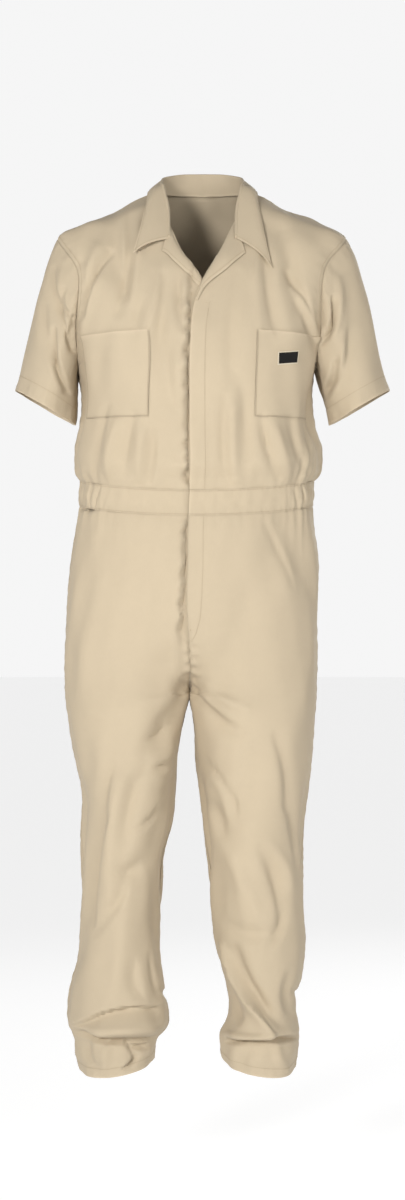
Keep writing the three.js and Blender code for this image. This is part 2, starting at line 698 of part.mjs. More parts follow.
// The side pocket's mouth is the front leg's side edge, drawn forward over the pocket's facing.
function openPocketMouth(panel, side) {
  const sign = sideOf[side];
  panel.points.forEach((row, i) => {
    const level = legRows[i].outer;
    if (i === 0 || level <= pocketMouthEnd) return;
    const mouth = legRows[0].outer + 30 - pocketMouthEnd;
    const open = Math.sin((Math.PI * (level - pocketMouthEnd)) / mouth);
    row.slice(-3).forEach((point, k) => {
      point.y -= 9 * open * ((k + 1) / 3);
      point.x += sign * 2 * open * ((k + 1) / 3);
    });
  });
  panel.normals = normalsOf(panel.points, panel.turned);
}

function pocketFacing(side) {
  const sign = sideOf[side];
  const at = (u, v) => {
    const angle = mix(64, 90, u) * degree;
    const z = mix(bandBottom(angle) - 2, pocketMouthEnd + 4, v);
    const point = onTrunk(sign * angle, z);
    const inward = new THREE.Vector3(-sign, 0.35, 0).normalize();
    return point.addScaledVector(inward, cloth + 0.9);
  };
  return grid(6, 3, at, sign > 0);
}

// Finds points on a panel's faces by their bearing round the trunk and their level.
function surfaceOf(panel, height) {
  const outer = panel.points.map((row, i) =>
    row.map((point, j) => point.clone().addScaledVector(panel.normals[i][j], height)),
  );
  const corner = (i, j) => ({
    point: outer[i][j],
    normal: panel.normals[i][j],
    spot: spotOf(outer[i][j]),
  });
  const faces = [];
  for (let i = 0; i < outer.length - 1; i += 1) {
    for (let j = 0; j < outer[0].length - 1; j += 1) {
      const [a, b] = [corner(i, j), corner(i, j + 1)];
      const [c, d] = [corner(i + 1, j + 1), corner(i + 1, j)];
      faces.push([a, b, c], [a, c, d]);
    }
  }
  return (spot) => {
    let best = null;
    for (const corners of faces) {
      const shares = sharesOf(spot, corners.map((at) => at.spot));
      const inside = Math.min(...shares);
      if (!best || inside > best.inside) best = { corners, shares, inside };
    }
    const found = { point: new THREE.Vector3(), normal: new THREE.Vector3() };
    best.corners.forEach((at, k) => {
      found.point.addScaledVector(at.point, best.shares[k]);
      found.normal.addScaledVector(at.normal, best.shares[k]);
    });
    found.normal.normalize();
    return found;
  };
}

function spotOf(point) {
  const bearing = Math.atan2(point.x - trunkAt(point.z).centre, -point.y);
  return new THREE.Vector2(bearing * 200, point.z);
}

function sharesOf(spot, [a, b, c]) {
  const area = (p, q, r) => (q.x - p.x) * (r.y - p.y) - (r.x - p.x) * (q.y - p.y);
  const whole = area(a, b, c);
  return [area(spot, b, c) / whole, area(a, spot, c) / whole, area(a, b, spot) / whole];
}

// A piece that lies on a panel is made from the panel's points, moved out, and is raised where
// the panel would stand through it.
function layOn(find, rows, cells, spotAt, height, turned) {
  const spots = [];
  const points = [];
  const normals = [];
  for (let i = 0; i <= rows; i += 1) {
    const row = [];
    for (let j = 0; j <= cells; j += 1) row.push(spotAt(j / cells, i / rows));
    const found = row.map(find);
    spots.push(row);
    points.push(found.map((at) => at.point));
    normals.push(found.map((at) => at.normal));
  }
  const lifts = points.map((row) => row.map(() => 0));
  const steps = 5;
  for (let i = 0; i < rows; i += 1) {
    for (let j = 0; j < cells; j += 1) {
      const corners = [[i, j], [i, j + 1], [i + 1, j + 1], [i + 1, j]];
      let most = 0;
      for (let k = 0; k <= steps * steps; k += 1) {
        const u = (k % steps) / (steps - 1);
        const v = Math.floor(k / steps) / steps;
        const shares = [(1 - u) * (1 - v), u * (1 - v), u * v, (1 - u) * v];
        const spot = new THREE.Vector2();
        const flat = new THREE.Vector3();
        corners.forEach(([p, q], n) => {
          spot.addScaledVector(spots[p][q], shares[n]);
          flat.addScaledVector(points[p][q], shares[n]);
        });
        const below = find(spot);
        most = Math.max(most, below.point.sub(flat).dot(below.normal));
      }
      for (const [p, q] of corners) lifts[p][q] = Math.max(lifts[p][q], most);
    }
  }
  const raised = points.map((row, i) =>
    row.map((point, j) => {
      const out = height(j / cells, i / rows) + lifts[i][j];
      return point.addScaledVector(normals[i][j], out);
    }),
  );
  return { points: raised, normals: normalsOf(raised, turned), turned };
}

// A patch has its inner edge at a distance from the middle plane and runs round the side.
function patch(side, find, place, rows, cells) {
  const sign = sideOf[side];
  const spotAt = (u, v) => {
    const z = mix(place.bottom, mix(place.top, place.outerTop, u), v);
    const inner = angleWhere((a) => sign * onTrunk(sign * a, z).x, place.inner, 0, 80 * degree);
    const start = spotOf(onTrunk(sign * inner, z));
    const wide = place.wide + place.flare * (1 - v);
    return start.setX(start.x + (sign * u * wide * 200) / place.radius);
  };
  return layOn(find, rows, cells, spotAt, () => layerGap, sign < 0);
}

const chestPocket = {
  top: -236, outerTop: -241, bottom: -372, inner: 84, wide: 119, flare: 7, radius: 178,
};
const labelPatch = {
  top: -270, outerTop: -266, bottom: -290, inner: 117, wide: 36, flare: 0, radius: 178,
};

// A lapel turns back over the front from the roll line, up to the seam at the collar.
const lapelEdges = {
  left: [
    { t: 0, rx: -11, rz: -186, ex: -8, ez: -190 },
    { t: 0.25, rx: -3, rz: -161, ex: 4, ez: -168 },
    { t: 0.5, rx: 15, rz: -127, ex: 30, ez: -145 },
    { t: 0.75, rx: 36, rz: -87, ex: 53, ez: -124 },
    { t: 1, rx: 51, rz: -56, ex: 70, ez: -111 },
  ],
  right: [
    { t: 0, rx: 1, rz: -154, ex: 5, ez: -166 },
    { t: 0.25, rx: 14, rz: -132, ex: 22, ez: -148 },
    { t: 0.5, rx: 34, rz: -105, ex: 40, ez: -130 },
    { t: 0.75, rx: 46, rz: -78, ex: 56, ez: -113 },
    { t: 1, rx: 50, rz: -63, ex: 64, ez: -108 },
  ],
};

function lapel(side, find) {
  const sign = sideOf[side];
  const edges = through(lapelEdges[side], "t");
  const spotAt = (u, v) => {
    const line = edges(v);
    const x = mix(line.rx, line.ex, u);
    const z = mix(line.rz, line.ez, u);
    const angle = angleWhere((a) => sign * onTrunk(sign * a, z).x, x, -40 * degree, 80 * degree);
    return spotOf(onTrunk(sign * angle, z));
  };
  const roll = (u, v) => {
    const across = Math.sin(Math.PI * clamp(u + 0.15, 0, 1));
    return layerGap + lapelRoll * Math.sin(Math.PI * v) * across;
  };
  return layOn(find, 8, 5, spotAt, roll, sign < 0);
}

// Lifts a point until it stands clear of the trunk below it.
function above(point, clearance) {
  const inside = (z) => {
    const ring = trunkAt(z);
    const across = Math.abs(point.x - ring.centre) / ring.half;
    const deep = Math.abs(point.y) / (point.y < 0 ? ring.front : ring.back);
    return across ** ring.square + deep ** ring.square < 1;
  };
  let [low, high] = [armpitLevel, trunkRings[0].z];
  for (let step = 0; step < 30; step += 1) {
    const middle = (low + high) / 2;
    if (inside(middle)) low = middle;
    else high = middle;
  }
  return point.setZ(Math.max(point.z, low + clearance));
}

// The collar stands up from the neckline, folds over and falls to its free edge.
const collarProfile = [0, 0.17, 0.3, 0.37, 0.44, 0.58, 0.74, 0.88, 1];

function collarPanel() {
  const cells = 28;
  const foldRadius = 2.6;
  const at = (u, v, j, i) => {
    const half = 2 * u - 1;
    const place = collarAt(Math.abs(half));
    const sign = half < 0 ? -1 : 1;
    const base = new THREE.Vector3(sign * place.bx, place.by, place.bz);
    const top = new THREE.Vector3(sign * place.fx, place.fy, place.fz);
    const drop = sign > 0 ? place.leftDrop : 0;
    const edge = new THREE.Vector3(sign * place.ex, place.ey, place.ez - drop);
    const out = edge.clone().sub(base).setZ(0).normalize();
    const overLapel = 7 * ease((Math.abs(half) - 0.5) / 0.2);
    above(base, 0.8 + overLapel);
    above(top, 3 + overLapel);
    const share = collarProfile[i];
    const [standEnd, fallStart] = [collarProfile[2], collarProfile[4]];
    const standTop = top.clone().addScaledVector(out, -foldRadius);
    const fallTop = top.clone().addScaledVector(out, foldRadius);
    if (share <= standEnd) return above(base.lerp(standTop, share / standEnd), 0.8 + overLapel);
    if (share < fallStart) return top.setZ(top.z + foldRadius);
    const t = (share - fallStart) / (1 - fallStart);
    const belly = 5 * Math.sin(Math.PI * t);
    const level = mix(fallTop.z, edge.z, t) + belly * 0.6;
    return above(fallTop.lerp(edge, t).addScaledVector(out, belly).setZ(level), 5);
  };
  return grid(collarProfile.length - 1, cells, at);
}

const suit = new THREE.Group();

const fronts = { left: frontPanel("left"), right: frontPanel("right") };
const back = backPanel();
const sleeves = {
  left: sleevePanel("left", fronts.left, back),
  right: sleevePanel("right", fronts.right, back),
};
const legs = {};
for (const side of ["left", "right"]) {
  legs[side] = { front: legPanel(side, "front"), back: legPanel(side, "back") };
}
drape([fronts.left, fronts.right, back, sleeves.left, sleeves.right,
  legs.left.front, legs.left.back, legs.right.front, legs.right.back]);
sinkUnderFly(fronts.right, () => 1);
sinkUnderFly(legs.right.front, (row) => (legRows[row].lap ? 1 : 0));

const pockets = {};
for (const side of ["left", "right"]) {
  openPocketMouth(legs[side].front, side);
  suit.add(piece(side + "_front", wallBetween(fronts[side], -cloth, 0)));
  suit.add(piece(side + "_sleeve", wallBetween(sleeves[side], -cloth, 0, 2 * seamGap)));
  suit.add(piece(side + "_front_leg", wallBetween(legs[side].front, -cloth, 0)));
  suit.add(piece(side + "_back_leg", wallBetween(legs[side].back, -cloth, 0)));
  suit.add(piece(side + "_pocket_facing", wallBetween(pocketFacing(side), -fineCloth, 0)));
  const find = surfaceOf(fronts[side], 0);
  suit.add(piece(side + "_lapel", wallBetween(lapel(side, find), 0, fineCloth, 0)));
  pockets[side] = patch(side, find, chestPocket, 8, 8);
  suit.add(piece(side + "_chest_pocket", wallBetween(pockets[side], 0, fineCloth, 0)));
}
suit.add(piece("back", wallBetween(back, -cloth, 0)));
suit.add(piece("collar", wallBetween(collarPanel(), 0, fineCloth)));

const bandFronts = {
  left: bandPanel(edgeAngle("left", bandSide, flyOverlap), elasticStart, 8, false),
  right: bandPanel(-elasticStart, edgeAngle("right", bandSide, flyUnderlap), 8, false),
};
sinkUnderFly(bandFronts.right, () => 1);
suit.add(piece("left_waistband", wallBetween(bandFronts.left, -cloth, 0, seamGap)));
suit.add(piece("right_waistband", wallBetween(bandFronts.right, -cloth, 0, seamGap)));
const elastic = bandPanel(elasticStart, 360 * degree - elasticStart, gathers * 4, true);
suit.add(piece("elastic_waistband", wallBetween(elastic, -cloth, 0, seamGap)));

const label = patch("left", surfaceOf(pockets.left, fineCloth), labelPatch, 2, 4);
suit.add(piece("label", wallBetween(label, 0, 1, 0), black()));

export default suit;
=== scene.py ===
"""A short-sleeved khaki boiler suit, hanging as worn, for Blender 4.5.

The garment is worked out in millimetres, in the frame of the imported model: +Z is up, the front
faces -Y and the left side is +X. Each cut piece is a flat grid of cloth, shaped over its own
part of the form, creased, given its thickness and finished with its own stitching.
"""

import math
from functools import cache
from types import SimpleNamespace

import bpy
import numpy as np
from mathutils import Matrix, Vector
from mathutils.bvhtree import BVHTree
from mathutils.kdtree import KDTree


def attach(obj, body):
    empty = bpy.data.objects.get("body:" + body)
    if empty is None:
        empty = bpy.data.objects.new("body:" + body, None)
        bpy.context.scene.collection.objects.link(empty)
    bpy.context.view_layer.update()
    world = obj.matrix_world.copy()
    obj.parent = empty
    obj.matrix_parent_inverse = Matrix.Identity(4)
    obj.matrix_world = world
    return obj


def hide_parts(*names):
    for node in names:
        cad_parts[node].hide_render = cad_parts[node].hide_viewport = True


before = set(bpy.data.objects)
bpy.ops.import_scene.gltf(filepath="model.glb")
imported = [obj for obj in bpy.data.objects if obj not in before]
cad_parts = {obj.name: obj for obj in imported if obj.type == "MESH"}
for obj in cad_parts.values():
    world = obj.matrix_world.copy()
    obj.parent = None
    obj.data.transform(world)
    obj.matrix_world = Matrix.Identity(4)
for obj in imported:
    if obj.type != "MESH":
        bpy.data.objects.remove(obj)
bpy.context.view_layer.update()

bl_info = {
    "name": "Boiler suit",
    "version": (1, 0, 0),
    "blender": (4, 5, 0),
    "location": "View3D > Sidebar > Boiler suit",
    "description": "Builds a short-sleeved boiler suit from its cut pieces",
    "category": "Object",
}

MM = 0.001
# The studio, in metres. The frame's height is what the camera takes in at the garment.
FLOOR = -1.597
CAMERA_DISTANCE = 4.6
CAMERA_HEIGHT = -0.661
SENSOR = 36
FRAME_HEIGHT = 1.944
SKY = ((0.22, 0.92), (0.48, 0.22))
FLOOR_GLOW = 0.74
LIGHT_SPREAD = math.radians(85)
LIGHT_TARGET = (0, 0, -0.7)
# The garment, in millimetres from the neck points, and how finely its grids are cut.
NECK_RISE = 2
ARMPIT = -290
BAND_SIDE = -468
BAND_DROOP = 19
BAND_HEIGHT = 41
FLY_OVERLAP = 11
FLY_UNDERLAP = 18
FLY_LIFT = 3.4
POCKET_MOUTH_END = -672
ELASTIC_START = math.radians(62)
SIDE_CELLS = 9
NECK_CELLS = 6
ARMHOLE_CELLS = 10
LEG_CELLS = 11
FINE_ROWS = 7
SIGN = {"left": 1, "right": -1}
FLY_PAST = {"left": FLY_OVERLAP, "right": FLY_UNDERLAP}


def table(columns, *rows):
    """A short table with named columns."""
    names = columns.split()
    return [SimpleNamespace(**dict(zip(names, row))) for row in rows]


# Soft round lamps, in metres and watts.
LIGHTS = table(
    "name place size power",
    ("key", (-1.85, -4.05, 0.2), 0.9, 32.5),
    ("fill", (2.4, -4.0, -0.4), 2.0, 16.5),
    ("back", (1.6, 4.2, 0.8), 2.0, 26),
)
# Level sections of the trunk: its middle, half its width, its depth in front and behind, and how
# square it is, where 2 is an ellipse.
TRUNK = table(
    "z centre half front back square",
    (6, 0, 64, 34, 58, 2.2),
    (0, 0, 78, 38, 62, 2.2),
    (-20, 0, 119, 46, 72, 2.4),
    (-45, 0, 171, 59, 83, 2.6),
    (-75, 0, 231, 76, 93, 2.9),
    (-95, -1, 236, 90, 100, 2.8),
    (-130, -2, 232, 110, 111, 2.6),
    (-180, -4, 222, 131, 121, 2.5),
    (-240, -7, 206, 146, 127, 2.4),
    (-290, -9, 192, 149, 127, 2.35),
    (-340, -9, 186, 146, 124, 2.3),
    (-385, -9, 191, 143, 124, 2.25),
    (-420, -8, 199, 142, 129, 2.25),
    (-448, -8, 198, 140, 130, 2.25),
    (-464, -9, 190, 133, 120, 2.25),
    (-480, -9, 187, 127, 111, 2.25),
    (-508, -10, 188, 126, 111, 2.25),
    (-530, -11, 190, 130, 120, 2.25),
    (-600, -13, 197, 135, 138, 2.3),
    (-680, -17, 203, 133, 147, 2.35),
    (-760, -19, 204, 127, 143, 2.4),
    (-830, -19, 203, 119, 136, 2.4),
)
# Level sections of each leg, measured from the middle plane towards the leg's own side.
RIGHT_LEG = table(
    "z inner outer front back square",
    (-700, 21, 222, 117, 133, 2.3),
    (-815, 21, 222, 116, 130, 2.2),
    (-850, 31, 218, 114, 125, 2.1),
    (-920, 40, 206, 109, 117, 2.05),
    (-985, 45, 194, 105, 107, 2),
    (-1034, 49, 197, 100, 98, 2),
    (-1082, 61, 199, 96, 94, 2),
    (-1147, 63, 199, 91, 98, 2),
    (-1205, 69, 198, 87, 107, 2),
    (-1244, 67, 204, 86, 109, 2.05),
    (-1285, 61, 213, 88, 105, 2.1),
    (-1320, 57, 217, 91, 99, 2.15),
    (-1346, 57, 217, 94, 94, 2.15),
    (-1358, 64, 212, 85, 86, 2.1),
    (-1372, 74, 206, 80, 82, 2.1),
    (-1392, 78, 205, 82, 84, 2.1),
    (-1410, 79, 200, 79, 81, 2.1),
    (-1432, 80, 197, 76, 78, 2.1),
)
LEFT_LEG = table(
    "z inner outer front back square",
    (-700, -21, 184, 117, 133, 2.3),
    (-815, -21, 185, 116, 130, 2.2),
    (-850, -15, 182, 114, 125, 2.1),
    (-920, -10, 176, 109, 117, 2.05),
    (-985, -3, 171, 105, 107, 2),
    (-1034, 2, 166, 100, 98, 2),
    (-1082, 7, 166, 96, 94, 2),
    (-1147, 10, 167, 91, 98, 2),
    (-1205, 18, 167, 87, 107, 2),
    (-1244, 27, 163, 85, 109, 2.05),
    (-1285, 39, 154, 83, 105, 2.05),
    (-1313, 46, 149, 84, 99, 2.1),
    (-1340, 40, 154, 93, 94, 2.1),
    (-1354, 31, 157, 94, 90, 2.15),
    (-1366, 29, 157, 83, 84, 2.1),
    (-1388, 29, 156, 84, 85, 2.1),
    (-1408, 33, 152, 80, 82, 2.1),
    (-1434, 38, 149, 77, 79, 2.1),
)
# The legs' rows: the levels of their inner and outer edges, how far they have gone over from the
# trunk's form to the leg's, how far the left and the right front pass the middle, and the hem's
# droop.
LEG_ROWS = table(
    "inner outer share lap under droop",
    (-530, -512, 0, 11, 18, 0),
    (-562, -545, 0, 11, 18, 0),
    (-605, -588, 0, 10, 17, 0),
    (-650, -632, 0, 9, 14, 0),
    (-692, POCKET_MOUTH_END, 0.01, 6, 10, 0),
    (-728, -706, 0.06, 3, 6, 0),
    (-756, -738, 0.17, 1, 2, 0),
    (-779, -768, 0.35, 0, 0, 0),
    (-796, -796, 0.57, 0, 0, 0),
    (-808, -822, 0.8, 0, 0, 0),
    (-815, -846, 1, 0, 0, 0),
    (-850, -882, 1, 0, 0, 0),
    (-905, -928, 1, 0, 0, 0),
    (-962, -975, 1, 0, 0, 0),
    (-1018, -1022, 1, 0, 0, 0),
    (-1072, -1072, 1, 0, 0, 0),
    (-1125, -1125, 1, 0, 0, 0),
    (-1178, -1178, 1, 0, 0, 0),
    (-1226, -1226, 1, 0, 0, 0),
    (-1266, -1266, 1, 0, 0, 0),
    (-1298, -1298, 1, 0, 0, 0),
    (-1324, -1324, 1, 0, 0, 0),
    (-1344, -1344, 1, 0, 0, 0),
    (-1357, -1357, 1, 0, 0, 0),
    (-1370, -1370, 1, 0, 0, 0),
    (-1383, -1387, 1, 0, 0, 4),
    (-1392, -1402, 1, 0, 0, 9),
    (-1398, -1416, 1, 0, 0, 14),
)
# The armhole from the armpit up to the shoulder's tip, and how deep it is in front and behind.
ARMHOLE = table(
    "t z front back",
    (0, ARMPIT, 0, 0),
    (0.1, -286, 23, 22),
    (0.2, -274, 41, 43),
    (0.3, -253, 56, 60),
    (0.4, -224, 68, 71),
    (0.5, -190, 78, 76),
    (0.6, -156, 79, 73),
    (0.7, -126, 70, 64),
    (0.8, -101, 51, 48),
    (0.9, -83, 27, 27),
    (1, -75, 0, 0),
)
# The fronts' free edges, from the armpit's level up to the neck.
EDGES = {
    "left": table(
        "t z x",
        (0, ARMPIT, -20),
        (0.1, -256, -19),
        (0.2, -222, -17),
        (0.3, -189, -12),
        (0.4, -163, -4),
        (0.5, -134, 11),
        (0.6, -106, 28),
        (0.7, -77, 41),
        (0.8, -49, 54),
        (0.9, -21, 68),
        (1, 0, 78),
    ),
    "right": table(
        "t z x",
        (0, ARMPIT, -9),
        (0.1, -256, -10),
        (0.2, -222, -10),
        (0.3, -189, -8),
        (0.4, -161, -3),
        (0.5, -133, 13),
        (0.6, -106, 33),
        (0.7, -77, 46),
        (0.8, -49, 57),
        (0.9, -21, 69),
        (1, 0, 78),
    ),
}
# Half the collar, from the middle of the back to its point: its base, its fold and its free edge.
COLLAR = table(
    "t bx by bz fx fy fz ex ey ez left_drop",
    (0, 0, 60, 4, 0, 66, 36, 0, 86, -14, 0),
    (0.14, 26, 56, 4, 27, 61, 35, 38, 82, -15, 0),
    (0.28, 52, 42, 3, 51, 44, 30, 71, 60, -13, 0),
    (0.42, 71, 18, 2, 65, 18, 22, 85, 28, -6, 0),
    (0.54, 75, -8, -1, 66, -7, 10, 88, -10, -7, 0),
    (0.68, 68, -36, -20, 62, -34, -9, 91, -47, -26, 3),
    (0.84, 58, -60, -47, 54, -62, -42, 99, -84, -68, 12),
    (1, 57, -88, -92, 53, -91, -87, 110, -110, -112, 23),
)
# Where the lapels roll and where their free edges lie, from the lowest place up.
LAPELS = {
    "left": table(
        "t rx rz ex ez",
        (0, -11, -186, -8, -190),
        (0.25, -3, -161, 4, -168),
        (0.5, 15, -127, 30, -145),
        (0.75, 36, -87, 53, -124),
        (1, 51, -56, 70, -111),
    ),
    "right": table(
        "t rx rz ex ez",
        (0, 1, -154, 5, -166),
        (0.25, 14, -132, 22, -148),
        (0.5, 34, -105, 40, -130),
        (0.75, 46, -78, 56, -113),
        (1, 50, -63, 64, -108),
    ),
}
CHEST_POCKET = SimpleNamespace(
    top=-236, outer_top=-241, bottom=-372, outer_bottom=-372, inner=84, wide=119, flare=7, radius=178
)
LABEL = SimpleNamespace(
    top=-270, outer_top=-266, bottom=-290, outer_bottom=-286, inner=117, wide=36, flare=0, radius=178
)
HEM = SimpleNamespace(
    x=254, y=2, z=-350, half=56, depth=72, square=1.8, tilt=math.radians(30)
)
BODICE_ROWS = (0, 0.09, 0.19, 0.31, 0.46, 0.64, 0.82)

